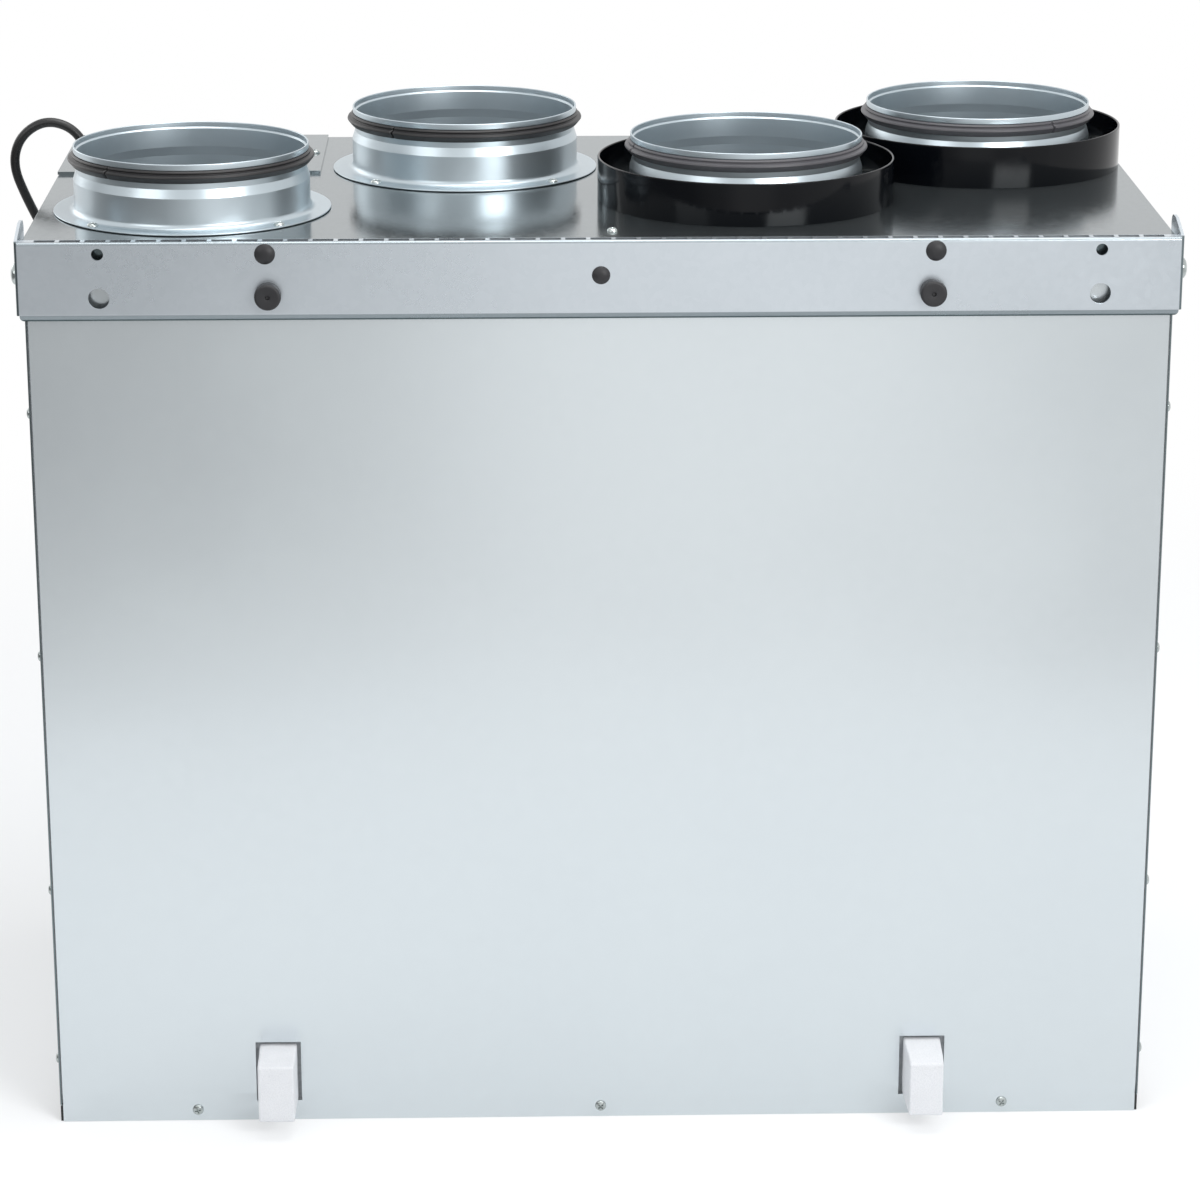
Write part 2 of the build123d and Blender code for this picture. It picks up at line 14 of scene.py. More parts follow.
import bmesh
import bpy
import numpy as np
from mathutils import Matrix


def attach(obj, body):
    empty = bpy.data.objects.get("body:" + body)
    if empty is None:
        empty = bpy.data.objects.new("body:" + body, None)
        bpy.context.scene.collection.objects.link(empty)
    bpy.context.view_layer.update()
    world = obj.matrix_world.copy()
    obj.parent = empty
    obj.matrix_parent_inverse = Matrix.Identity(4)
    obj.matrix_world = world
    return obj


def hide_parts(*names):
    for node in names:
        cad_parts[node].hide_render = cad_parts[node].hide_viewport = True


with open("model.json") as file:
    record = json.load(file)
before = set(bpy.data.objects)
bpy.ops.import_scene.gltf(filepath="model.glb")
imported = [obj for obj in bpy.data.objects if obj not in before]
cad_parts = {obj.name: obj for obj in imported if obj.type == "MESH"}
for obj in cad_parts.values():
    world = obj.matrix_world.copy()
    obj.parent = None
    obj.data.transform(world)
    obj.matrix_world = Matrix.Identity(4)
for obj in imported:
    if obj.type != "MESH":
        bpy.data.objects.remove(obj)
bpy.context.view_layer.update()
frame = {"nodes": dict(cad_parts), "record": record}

LOG = logging.getLogger("ventilator")
BODY = "root"
TOP = 0.786
WALL_FACE = -0.224
RAIL_FACE = -0.236
WHITE = (1.0, 1.0, 1.0, 1.0)
# Colour of the painted shade and painted dark reflections drawn on the zinc sheet in its shade zones
PAINTED_SHADE = "#34484B"

Array = np.ndarray
Point = tuple[float, float, float]
Surface = tuple[Array, Array]
Tree = bpy.types.NodeTree
Socket = bpy.types.NodeSocket
Piece = bpy.types.Object


class Slot(Enum):
    """The record's material slots."""

    SHEET = "galvanised_sheet"
    TOP = "galvanised_top"
    RAIL = "rail_steel"
    SPIGOT = "spigot_steel"
    FOAM = "insulation_foam"
    RUBBER = "black_rubber"
    TRAY = "tray_plastic"
    SEAL = "seal_rubber"
    COLLAR = "collar_plastic"
    PAD = "white_foam"
    SCREWS = "zinc_screws"
    SHEATH = "lead_sheath"
    PLUG = "plug_plastic"
    PINS = "pin_metal"


class Facing(Enum):
    """Which way a turned piece's own axis points, as the rows of a turn from its frame to the part's."""

    UP = ((1, 0, 0), (0, 1, 0), (0, 0, 1))
    WALL = ((1, 0, 0), (0, 0, -1), (0, 1, 0))
    RIGHT = ((0, 0, 1), (1, 0, 0), (0, 1, 0))
    LEFT = ((0, 0, -1), (-1, 0, 0), (0, 1, 0))


Finishes = dict[Slot, bpy.types.Material]


# Helpers for colour, nodes and meshes


def linear(code: str) -> tuple[float, float, float, float]:
    """Turn an sRGB hex colour into a linear one.

    Args:
        code: Six hex digits after a hash.

    Returns:
        Linear red, green and blue, and an alpha of 1.
    """
    srgb = np.array([int(code[i : i + 2], 16) for i in (1, 3, 5)]) / 255
    value = np.where(srgb <= 0.04045, srgb / 12.92, ((srgb + 0.055) / 1.055) ** 2.4)
    return (*value.tolist(), 1.0)


def per_metre(millimetres: float) -> float:
    """Return the texture scale on Object coordinates whose cells are that wide."""
    return 1000.0 / millimetres


def add_node(tree: Tree, kind: str, inputs: dict | None = None, **settings: Any) -> bpy.types.Node:
    """Add a node, set it up and link it.

    Args:
        tree: The node tree.
        kind: The node's type name, without the ShaderNode before it.
        inputs: For each input, by its name or number, a value, another node's output, or a node for its first one.
        settings: The node's own settings.

    Returns:
        The new node.
    """
    node = tree.nodes.new("ShaderNode" + kind)
    for name, value in settings.items():
        setattr(node, name, value)
    for key, value in (inputs or {}).items():
        if isinstance(value, bpy.types.Node):
            value = value.outputs[0]
        if isinstance(value, Socket):
            tree.links.new(value, node.inputs[key])
        else:
            node.inputs[key].default_value = value
    return node


def blank_material(name: str) -> tuple[bpy.types.Material, Tree, Socket]:
    """Make a material with no surface yet.

    Args:
        name: The material's name.

    Returns:
        The material, its node tree and the tree's Object coordinates.
    """
    material = bpy.data.materials.new(name)
    material.use_nodes = True
    tree = material.node_tree
    tree.nodes.clear()
    return material, tree, add_node(tree, "TexCoord").outputs["Object"]


def grid_quads(rows: int, columns: int, close_rows: bool = True, close_columns: bool = True) -> Array:
    """Number the quads of a grid of points.

    Args:
        rows: Number of rows of points.
        columns: Number of points in a row.
        close_rows: True where the last row joins the first.
        close_columns: True where a row's last point joins its first.

    Returns:
        Four point numbers a quad.
    """
    i = np.arange(rows if close_rows else rows - 1)[:, None]
    j = np.arange(columns if close_columns else columns - 1)[None, :]
    above, beside = (i + 1) % rows, (j + 1) % columns
    corners = (i * columns + j, above * columns + j, above * columns + beside, i * columns + beside)
    return np.stack(corners, axis=-1).reshape(-1, 4)


def rounded_outline(corners: Array, radii: Array, steps: int = 6) -> Array:
    """Round the corners of a closed outline.

    Each corner becomes an arc that touches both of its sides. Its centre lies on the bisector, at the radius
    over the sine of half the corner's angle, and its points are turned evenly between the touching points.

    Args:
        corners: Outline corners, one row each.
        radii: Radius at each corner.
        steps: Points on each arc.

    Returns:
        The rounded outline, one row a point.
    """
    back = np.roll(corners, 1, axis=0) - corners
    ahead = np.roll(corners, -1, axis=0) - corners
    back /= np.linalg.norm(back, axis=1, keepdims=True)
    ahead /= np.linalg.norm(ahead, axis=1, keepdims=True)
    half = np.arccos(np.clip((back * ahead).sum(axis=1), -0.9999, 0.9999))[:, None] / 2
    bisector = back + ahead
    bisector /= np.linalg.norm(bisector, axis=1, keepdims=True)
    reach = np.asarray(radii, dtype=float)[:, None]
    centre = corners + bisector * reach / np.sin(half)
    start = corners + back * reach / np.tan(half) - centre
    end = corners + ahead * reach / np.tan(half) - centre
    share = np.linspace(0, 1, steps)[None, :, None]
    turn = (math.pi - 2 * half)[:, :, None]
    arc = (np.sin((1 - share) * turn) * start[:, None] + np.sin(share * turn) * end[:, None]) / np.sin(turn)
    return (centre[:, None] + arc).reshape(-1, 2)


def placed(points: Array, origin: Point, facing: Facing) -> Array:
    """Turn points from a piece's own frame to the part's and move them to their origin."""
    return points @ np.array(facing.value, dtype=float).T + np.array(origin)


def turned(outline: Array, angles: Array) -> Array:
    """Turn an outline of radii and heights round the Z axis.

    A point lies at radius times cosine and sine of its angle, at its own height.

    Args:
        outline: Radius and height of each outline point.
        angles: The angles of the rows, in radians, rising.

    Returns:
        Points by row and column.
    """
    radius, height = outline.T
    x = np.cos(angles)[:, None] * radius
    y = np.sin(angles)[:, None] * radius
    return np.stack([x, y, np.broadcast_to(height, x.shape)], axis=-1)


def anticlockwise(outline: Array) -> Array:
    """Make a closed outline run with its inside on the left, which turns its faces outwards.

    Args:
        outline: One row a point.

    Returns:
        The outline, turned round where its area comes out negative.
    """
    x, y = outline.T
    area = (x * np.roll(y, -1) - np.roll(x, -1) * y).sum()
    return outline if area > 0 else outline[::-1]


def evenly(steps: int) -> Array:
    """Return that many angles, evenly round a circle."""
    return np.linspace(0, 2 * math.pi, steps, endpoint=False)


def lathe(outline: Array, steps: int, origin: Point, facing: Facing = Facing.UP, closed: bool = True) -> Surface:
    """Turn an outline round its axis and put it in its place.

    Args:
        outline: Radius and height of each outline point.
        steps: Rows round the axis.
        origin: Where the axis starts.
        facing: Which way it points.
        closed: True where the outline's last point joins its first.

    Returns:
        Points and quads.
    """
    rows = turned(outline, evenly(steps))
    return placed(rows.reshape(-1, 3), origin, facing), grid_quads(*rows.shape[:2], True, closed)


def mesh_piece(name: str, points: Array, quads: Array, sharp: float = 40.0) -> Piece:
    """Make a mesh object from whole arrays, with its doubles merged and its shading smooth.

    Args:
        name: The object's name.
        points: One row a point.
        quads: Four point numbers a face.
        sharp: Edges that turn by more than this many degrees stay sharp.

    Returns:
        The object, at the origin.
    """
    mesh = bpy.data.meshes.new(name)
    mesh.vertices.add(len(points))
    mesh.vertices.foreach_set("co", np.ascontiguousarray(points, dtype=np.float32).ravel())
    mesh.loops.add(quads.size)
    mesh.loops.foreach_set("vertex_index", quads.astype(np.int32).ravel())
    mesh.polygons.add(len(quads))
    mesh.polygons.foreach_set("loop_start", np.arange(0, quads.size, 4, dtype=np.int32))
    mesh.update(calc_edges=True)
    welded = bmesh.new()
    welded.from_mesh(mesh)
    bmesh.ops.remove_doubles(welded, verts=welded.verts, dist=2e-6)
    welded.to_mesh(mesh)
    welded.free()
    mesh.shade_smooth()
    mesh.set_sharp_from_angle(angle=math.radians(sharp))
    piece = bpy.data.objects.new(name, mesh)
    bpy.context.scene.collection.objects.link(piece)
    return piece


def joined(parts: list[Surface]) -> Surface:
    """Put several sets of points and quads into one.

    Args:
        parts: Points and quads of each set.

    Returns:
        All points, and all quads numbered to match.
    """
    starts = np.cumsum([0] + [len(points) for points, _ in parts[:-1]])
    points = np.concatenate([points for points, _ in parts])
    quads = np.concatenate([quads + start for (_, quads), start in zip(parts, starts)])
    return points, quads


def dress(piece: Piece, slot: Slot, finishes: Finishes, *nodes: str) -> None:
    """Give a new piece its finish, let it ride on the part, and let it stand for its solids.

    Args:
        piece: The new piece.
        slot: Its material slot.
        finishes: The finish of each slot.
        nodes: Names of the solids that it replaces.
    """
    piece.data.materials.clear()
    piece.data.materials.append(finishes[slot])
    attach(piece, BODY)
    if nodes:
        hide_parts(*nodes)
    LOG.info("%s: %s", piece.name, slot.value)


# Finishes


@dataclass(frozen=True)
class PaintedShadeZone:
    """A box in which sheet steel is drawn darker, for edges, bends and hollows that the photograph shows dark.

    It is painted shade and painted dark reflection: the tone that the real metal has there from shade and from
    what it mirrors, which the studio here doesn't give by itself.
    """

    low: Point
    high: Point
    share: float
    fade: float = 0.0006

    def mask(self, tree: Tree, place: Socket) -> Socket:
        """Add the nodes that tell the box from the rest, by the distance to its sides.

        Args:
            tree: The material's node tree.
            place: Its Object coordinates.

        Returns:
            An output that is the zone's share inside the box and 0 outside.
        """
        low, high = np.array(self.low), np.array(self.high)
        offset = add_node(tree, "VectorMath", {0: place, 1: (low + high) / 2}, operation="SUBTRACT")
        width = add_node(tree, "VectorMath", {0: offset}, operation="ABSOLUTE")
        beyond = add_node(tree, "VectorMath", {0: width, 1: (high - low) / 2}, operation="SUBTRACT")
        axes = add_node(tree, "SeparateXYZ", {0: beyond}).outputs
        far = add_node(tree, "Math", {0: axes[0], 1: axes[1]}, operation="MAXIMUM")
        farthest = add_node(tree, "Math", {0: far, 1: axes[2]}, operation="MAXIMUM")
        ends = {"From Min": -self.fade, "From Max": 0.0, "To Min": self.share, "To Max": 0.0}
        return add_node(tree, "MapRange", {"Value": farthest, **ends}).outputs[0]


@dataclass(frozen=True)
class ZincCoatedSheet:
    """Hot-dip galvanised sheet steel. Zinc blurs what it mirrors, and its crystals show as faint flat patches."""

    name: str
    colour: str
    dark: str
    roughness: float
    spangle_mm: float
    spangle_depth: float
    roll_mm: float = 1.2
    roll_length_mm: float = 60.0
    bump: float = 0.02
    shade_zones: tuple[PaintedShadeZone, ...] = ()
    drift_mm: float = 180.0
    drift_depth: float = 0.12
    gloss_spread: float = 0.06
    metallic: float = 0.88

    def make(self) -> bpy.types.Material:
        """Build the material.

        Each crystal cell has a grey and a gloss of its own, a wide noise lets the gloss drift over the sheet, and
        a noise stretched along the rolling direction gives the fine lines of the mill. In each shade zone the
        colour is painted darker, as painted shade and painted dark reflection that the lamps don't give.

        Returns:
            The material.
        """
        material, tree, place = blank_material(self.name)
        crystals = {"Vector": place, "Scale": per_metre(self.spangle_mm), "Randomness": 1.0}
        cells = add_node(tree, "TexVoronoi", crystals)
        tint = add_node(tree, "SeparateColor", {0: cells.outputs["Color"]}).outputs
        wide = {"Vector": place, "Scale": per_metre(self.drift_mm), "Detail": 2.0, "Roughness": 0.5}
        drift = add_node(tree, "TexNoise", wide)
        stretch = (per_metre(self.roll_mm), per_metre(self.roll_mm), per_metre(self.roll_length_mm))
        lines = add_node(tree, "Mapping", {"Vector": place, "Scale": stretch})
        rolled = add_node(tree, "TexNoise", {"Vector": lines, "Scale": 1.0, "Detail": 2.0, "Roughness": 0.6})
        depth = 0.5 * self.spangle_depth
        shade = add_node(tree, "MapRange", {"Value": tint[0], "To Min": 0.5 - depth, "To Max": 0.5 + depth})
        swing = {"From Min": 0.3, "From Max": 0.7, "To Min": -self.drift_depth, "To Max": self.drift_depth}
        weather = add_node(tree, "MapRange", {"Value": drift, **swing})
        mixed = add_node(tree, "Math", {0: shade, 1: weather}, operation="ADD")
        greys = {0: mixed, 6: linear(self.dark), 7: linear(self.colour)}
        base = add_node(tree, "Mix", greys, data_type="RGBA").outputs[2]
        # Painted shade: in each zone the colour is pulled towards the painted shade colour
        for zone in self.shade_zones:
            mix = {0: zone.mask(tree, place), 6: base, 7: linear(PAINTED_SHADE)}
            base = add_node(tree, "Mix", mix, data_type="RGBA").outputs[2]
        spread = self.gloss_spread * self.spangle_depth
        ends = {"To Min": self.roughness - spread, "To Max": self.roughness + spread}
        gloss = add_node(tree, "MapRange", {"Value": tint[1], **ends})
        worn = add_node(tree, "Math", {0: weather, 1: 0.25, 2: gloss}, operation="MULTIPLY_ADD")
        relief = add_node(tree, "Bump", {"Height": rolled, "Strength": self.bump, "Distance": 0.0005})
        steel = {"Base Color": base, "Metallic": self.metallic, "Roughness": worn, "Normal": relief}
        add_node(tree, "OutputMaterial", {0: add_node(tree, "BsdfPrincipled", steel)})
        return material


@dataclass(frozen=True)
class MouldedPiece:
    """Moulded rubber or plastic: one deep colour with a skin texture, a little dust and an uneven gloss."""

    name: str
    colour: str
    dust: str
    roughness: float
    ior: float
    grain_mm: float
    bump: float
    dust_share: float = 0.25
    coat: float = 0.0
    haze_mm: float = 40.0

    def make(self) -> bpy.types.Material:
        """Build the material: a wide noise lays dust and dulls the gloss, and a fine one gives the grain.

        Returns:
            The material.
        """
        material, tree, place = blank_material(self.name)
        wide = {"Vector": place, "Scale": per_metre(self.haze_mm), "Detail": 5.0, "Roughness": 0.6}
        haze = add_node(tree, "TexNoise", wide)
        lies = {"From Min": 0.4, "From Max": 0.75, "To Min": 0.0, "To Max": self.dust_share}
        share = add_node(tree, "MapRange", {"Value": haze, **lies})
        dusty = {0: share, 6: linear(self.colour), 7: linear(self.dust)}
        colour = add_node(tree, "Mix", dusty, data_type="RGBA")
        ends = {"From Min": 0.3, "From Max": 0.7, "To Min": self.roughness - 0.04, "To Max": self.roughness + 0.06}
        gloss = add_node(tree, "MapRange", {"Value": haze, **ends})
        grain = add_node(tree, "TexNoise", {"Vector": place, "Scale": per_metre(self.grain_mm), "Detail": 3.0})
        relief = add_node(tree, "Bump", {"Height": grain, "Strength": self.bump, "Distance": 0.0003})
        skin = {"Base Color": colour.outputs[2], "Roughness": gloss, "IOR": self.ior, "Normal": relief}
        coat = {"Coat Weight": self.coat, "Coat Roughness": 0.12}
        add_node(tree, "OutputMaterial", {0: add_node(tree, "BsdfPrincipled", skin | coat)})
        return material


@dataclass(frozen=True)
class CellFoam:
    """Foam: rounded cells or beads pressed together, matt, with small shadows in the joints between them."""

    name: str
    colour: str
    joint: str
    cell_mm: float
    bump: float
    roughness: float = 0.85
    ior: float = 1.4
    stain_mm: float = 14.0

    def make(self) -> bpy.types.Material:
        """Build the material: the distance to each cell's middle domes it, and darkens it towards its joints.

        Returns:
            The material.
        """
        material, tree, place = blank_material(self.name)
        cells = add_node(tree, "TexVoronoi", {"Vector": place, "Scale": per_metre(self.cell_mm)})
        wide = {"Vector": place, "Scale": per_metre(self.stain_mm), "Detail": 4.0, "Roughness": 0.6}
        stain = add_node(tree, "TexNoise", wide)
        ends = {"From Min": 0.2, "From Max": 0.85, "To Min": 0.0, "To Max": 0.55}
        depth = add_node(tree, "MapRange", {"Value": cells.outputs["Distance"], **ends})
        uneven = add_node(tree, "Math", {0: stain, 1: 0.35, 2: depth}, operation="MULTIPLY_ADD")
        tones = {0: uneven, 6: linear(self.colour), 7: linear(self.joint)}
        colour = add_node(tree, "Mix", tones, data_type="RGBA").outputs[2]
        beads = {"Height": depth, "Strength": self.bump, "Distance": 0.0006}
        relief = add_node(tree, "Bump", beads, invert=True)
        foam = {"Base Color": colour, "Roughness": self.roughness, "IOR": self.ior, "Normal": relief}
        add_node(tree, "OutputMaterial", {0: add_node(tree, "BsdfPrincipled", foam)})
        return material


def edge_zones(x: float, half: float, low: tuple, high: tuple, share: float) -> tuple[PaintedShadeZone, ...]:
    """Return two like painted shade zones at the part's left and right.

    Args:
        x: How far their middles lie from the part's middle.
        half: Half their width.
        low: Their lowest Y and Z.
        high: Their highest Y and Z.
        share: How far the painted shade darkens the zinc there.

    Returns:
        The left zone and the right one.
    """
    return tuple(PaintedShadeZone((side * x - half, *low), (side * x + half, *high), share) for side in (-1, 1))


def make_finishes() -> Finishes:
    """Make every finish of the part.

    Returns:
        The material of each slot.
    """
    # Painted shade: boxes where the casing and the rail are drawn darker, for the shade behind the rail and inside
    # its channel, and painted dark reflections along the panels' seams and top edges, the rail's bends and its
    # ears
    behind_rail = PaintedShadeZone((-0.470, -0.2250, 0.7640), (0.470, -0.2230, 0.7850), 0.85)
    seams = edge_zones(0.4716, 0.0019, (-0.2250, 0.0160), (-0.2215, 0.7860), 0.8)
    rims = edge_zones(0.4716, 0.0019, (-0.2215, 0.7840), (0.2250, 0.7880), 0.8)
    casing = (behind_rail, *seams, *rims)
    low_bend = PaintedShadeZone((-0.480, -0.2370, 0.7180), (0.480, -0.2230, 0.7258), 0.6)
    top_bend = PaintedShadeZone((-0.4754, -0.2370, 0.7834), (0.4754, -0.2328, 0.7880), 0.5)
    channel = PaintedShadeZone((-0.4754, -0.2344, 0.7190), (0.4754, -0.2220, 0.7846), 1.0)
    ears = edge_zones(0.4768, 0.0018, (-0.2375, 0.7180), (-0.2330, 0.8000), 0.8)
    rail = (low_bend, top_bend, channel, *ears)
    finishes = {
        # Satin casing sheet: it spreads the light into soft bands and mirrors no edges
        Slot.SHEET: ZincCoatedSheet(
            "galvanised_satin", "#DEE5E8", "#D7DEE2", 0.22, 9.0, 0.12, bump=0.03, shade_zones=casing
        ),
        # Smoothly rolled top sheet: nearly a mirror, so the tubes stand on their own images. Its grey is a painted
        # dark reflection: much darker than the casing's, standing in for darker surroundings that the top mirrors
        Slot.TOP: ZincCoatedSheet("galvanised_rolled", "#858D90", "#798184", 0.13, 3.0, 0.35, bump=0.03),
        # Thicker rail steel: its crystals show, and it is a bluer and duller grey than the casing
        Slot.RAIL: ZincCoatedSheet("galvanised_spangled", "#D2D9DF", "#C8D0D6", 0.3, 5.0, 0.25, shade_zones=rail),
        # Pressed tube steel: stretched smooth, so its rims and steps carry bright streaks
        Slot.SPIGOT: ZincCoatedSheet("galvanised_pressed", "#C1CCD2", "#BAC5CB", 0.31, 6.0, 0.1, 1.0, 40.0, 0.01),
        # Bright zinc plate: each small head has one sharp spark
        Slot.SCREWS: ZincCoatedSheet("zinc_plate", "#C3C9C8", "#A1A8A7", 0.16, 2.0, 0.5, bump=0.02),
        # Nickel plate: a warmer and cleaner shine than zinc
        Slot.PINS: ZincCoatedSheet("nickel_plate", "#D9D4C8", "#C4BFB2", 0.16, 2.0, 0.2, bump=0.01),
        # Beads pressed together: a matt grey with a grain of small round cells
        Slot.FOAM: CellFoam("bead_foam", "#C9CCCE", "#A9ADB0", 3.2, 0.5),
        # Fine closed cells: a soft white with hardly any grain
        Slot.PAD: CellFoam("closed_cell_foam", "#EDEDEF", "#D9DADD", 0.9, 0.35),
        # Moulded rubber: matt and near black, with a dusty skin
        Slot.RUBBER: MouldedPiece("moulded_rubber", "#1B1B1E", "#37373A", 0.5, 1.5, 0.7, 0.15),
        # Extruded rubber: a satin streak follows each lip
        Slot.SEAL: MouldedPiece("extruded_rubber", "#121113", "#2A2628", 0.4, 1.5, 0.5, 0.08),
        # Structured moulding: matt black, so the base reads as a shadow line
        Slot.TRAY: MouldedPiece("moulded_base", "#16191A", "#2C2F30", 0.4, 1.5, 0.9, 0.12),
        # Injected plastic: a deep black that mirrors the lamps as clear patches
        Slot.COLLAR: MouldedPiece("injected_plastic", "#06080C", "#0D0F13", 0.12, 1.3, 2.5, 0.04, 0.1),
        # Soft sheath: satin black, with one long soft highlight
        Slot.SHEATH: MouldedPiece("soft_pvc", "#0B0C0D", "#161718", 0.36, 1.53, 0.8, 0.1),
        # Moulded plug: the sheath's black, a little duller and coarser
        Slot.PLUG: MouldedPiece("moulded_pvc", "#141517", "#2A2B2D", 0.45, 1.53, 0.6, 0.2),
    }
    return {slot: finish.make() for slot, finish in finishes.items()}


# The seals of the two collared spigots look greyer in the photograph, so they get a paler rubber. Why is a guess
GREY_RUBBER = MouldedPiece("grey_rubber", "#48474B", "#5E5C60", 0.4, 1.5, 0.5, 0.08)


# Pieces


@dataclass(frozen=True)
class DuctSpigot:
    """One pressed duct spigot with its rolled rim and rubber seal, and a plastic collar where it has one."""

    number: int
    x: float
    y: float
    joint: float
    collar: bool = False
    tube: float = 0.0996
    neck: float = 0.0972
    wall: float = 0.0010
    flange: float = 0.1170
    flange_fillet: float = 0.0056
    flange_lift: float = 0.0006
    step_low: float = 0.0275
    step_high: float = 0.0350
    groove: float = 0.0400
    rim_low: float = 0.0505
    rim_high: float = 0.0560
    rim_outside: float = 0.0990
    rim_wall: float = 0.0014
    collar_radius: float = 0.1270
    collar_wall: float = 0.0020
    collar_height: float = 0.0360
    steps: int = 192

    def shell(self) -> Piece:
        """Build the pressed shell: one outline up the outside, over the rolled rim and down the inside, turned.

        Returns:
            The shell.
        """
        tube_in, neck_in = self.tube - self.wall, self.neck - self.wall
        corners = np.array(
            [
                (tube_in, 0.0),
                (self.flange - 0.006, 0.0),
                (self.flange, self.flange_lift),
                (self.flange, self.wall + self.flange_lift),
                (self.tube, self.wall),
                (self.tube, self.step_low),
                (self.neck, self.step_high),
                (self.neck, self.rim_low - 0.0006),
                (self.rim_outside, self.rim_low + 0.0006),
                (self.rim_outside, self.rim_high),
                (self.rim_outside - self.rim_wall, self.rim_high),
                (self.rim_outside - self.rim_wall, self.rim_low + 0.0010),
                (neck_in, self.rim_low),
                (neck_in, self.step_high - 0.0004),
                (tube_in, self.step_low - 0.0004),
            ]
        )
        fillet = self.flange_fillet * 1000
        radii = np.array([0.3, 3.0, 0.3, 0.4, fillet, 2.2, 2.2, 0.5, 0.8, 0.6, 0.6, 0.6, 0.5, 1.6, 1.6]) / 1000
        outline = anticlockwise(rounded_outline(corners, radii, 7))
        return mesh_piece(f"spigot_shell_{self.number}", *lathe(outline, self.steps, (self.x, self.y, TOP)))

    def seal(self) -> Piece:
        """Build the seal: two soft lips turned round the neck, pinched in where the ring's ends meet.

        The reach beyond the neck shrinks by a bell curve of the distance along the ring from the joint.

        Returns:
            The seal.
        """
        corners = np.array(
            [
                (0.0, 0.0),
                (0.0026, 0.0002),
                (0.0066, 0.0050),
                (0.0060, 0.0066),
                (0.0030, 0.0076),
                (0.0037, 0.0092),
                (0.0022, 0.0106),
                (0.0, 0.0106),
            ]
        )
        radii = np.array([0.2, 1.6, 0.7, 0.6, 0.5, 0.8, 0.6, 0.2]) / 1000
        outline = anticlockwise(rounded_outline(corners, radii, 6))
        near = np.linspace(-1, 1, 25) ** 3 * 0.03
        angles = np.unique(np.mod(np.concatenate([evenly(self.steps), self.joint + near]), 2 * math.pi))
        off = np.abs(np.angle(np.exp(1j * (angles - self.joint)))) * self.neck
        pinch = 1 - 0.7 * np.exp(-((off / 0.0010) ** 2))
        rows = turned(outline, angles)
        reach = outline[:, 0] * pinch[:, None] + self.neck
        rows[..., 0] = np.cos(angles)[:, None] * reach
        rows[..., 1] = np.sin(angles)[:, None] * reach
        points = placed(rows.reshape(-1, 3), (self.x, self.y, TOP + self.groove), Facing.UP)
        return mesh_piece(f"seal_ring_{self.number}", points, grid_quads(*rows.shape[:2]))

    def ring(self) -> Piece:
        """Build the collar: a thin upright wall with a rounded upper edge, turned.

        Returns:
            The collar.
        """
        inner, outer, high = self.collar_radius - self.collar_wall, self.collar_radius, self.collar_height
        corners = np.array([(inner, 0.0), (outer, 0.0), (outer, high), (inner, high)])
        outline = anticlockwise(rounded_outline(corners, np.array([0.2, 0.3, 0.8, 0.8]) / 1000, 5))
        return mesh_piece(f"collar_ring_{self.number}", *lathe(outline, self.steps, (self.x, self.y, TOP)))

    def build(self, finishes: Finishes) -> None:
        """Build and dress the spigot's pieces.

        Args:
            finishes: The finish of each slot.
        """
        dress(self.shell(), Slot.SPIGOT, finishes, f"duct_spigot_{self.number}")
        seal = self.seal()
        dress(seal, Slot.SEAL, finishes, f"duct_seal_{self.number}")
        if self.collar:
            seal.data.materials[0] = GREY_RUBBER.make()
            dress(self.ring(), Slot.COLLAR, finishes, f"duct_collar_{self.number}")


@dataclass(frozen=True)
class RailRubber:
    """The rubber plugs and bumpers in the hanging rail."""

    plug_places: tuple[Point, ...] = ((-0.274, 0.776, 0.0085), (0.274, 0.776, 0.0085), (0.0, 0.757, 0.0075))
    plug_proud: float = 0.0034
    bumper_places: tuple[tuple[float, float], ...] = ((-0.272, 0.742), (0.272, 0.742))
    bumper_radius: float = 0.0110
    bumper_proud: float = 0.0120
    dimple_radius: float = 0.0019
    dimple_depth: float = 0.0025

    def dome(self, x: float, z: float, radius: float) -> Surface:
        """Build one plug: a shallow dome whose height falls with the power 2.6 of the share of its radius.

        Args:
            x: The plug's place along the rail.
            z: Its height.
            radius: Its radius.

        Returns:
            Points and quads.
        """
        share = np.linspace(0, 1, 14)
        height = self.plug_proud * (0.12 + 0.88 * (1 - share**2.6))
        cap = np.stack([radius * share, height], axis=-1)
        outline = np.concatenate([cap, [(radius, 0.0), (0.0, 0.0)]])[::-1]
        return lathe(outline, 48, (x, RAIL_FACE, z), Facing.WALL, closed=False)

    def button(self, x: float, z: float) -> Surface:
        """Build one bumper: a round button with a soft edge, a slightly hollow face and a dimple, turned.

        Args:
            x: The bumper's place along the rail.
            z: Its height.

        Returns:
            Points and quads.
        """
        face, floor = self.bumper_proud, self.bumper_proud - self.dimple_depth
        waist, lip = self.bumper_radius * 0.97, self.bumper_radius
        corners = np.array(
            [
                (0.0002, 0.0),
                (waist, 0.0),
                (lip, face * 0.6),
                (waist, face),
                (self.dimple_radius, face - 0.0006),
                (self.dimple_radius * 0.8, floor),
                (0.0002, floor),
            ]
        )
        radii = np.array([0.05, 0.3, 3.0, 2.2, 0.4, 0.3, 0.05]) / 1000
        outline = rounded_outline(corners, radii, 6)
        outline = np.concatenate([[(0.0, 0.0)], outline, [(0.0, floor)]])
        return lathe(outline, 56, (x, RAIL_FACE, z), Facing.WALL, closed=False)

    def build(self, finishes: Finishes) -> None:
        """Build and dress the plugs and the bumpers.

        Args:
            finishes: The finish of each slot.
        """
        domes = joined([self.dome(*place) for place in self.plug_places])
        dress(mesh_piece("rail_domes", *domes), Slot.RUBBER, finishes, "rail_plugs")
        buttons = joined([self.button(*place) for place in self.bumper_places])
        dress(mesh_piece("rail_buttons", *buttons), Slot.RUBBER, finishes, "rail_bumpers")


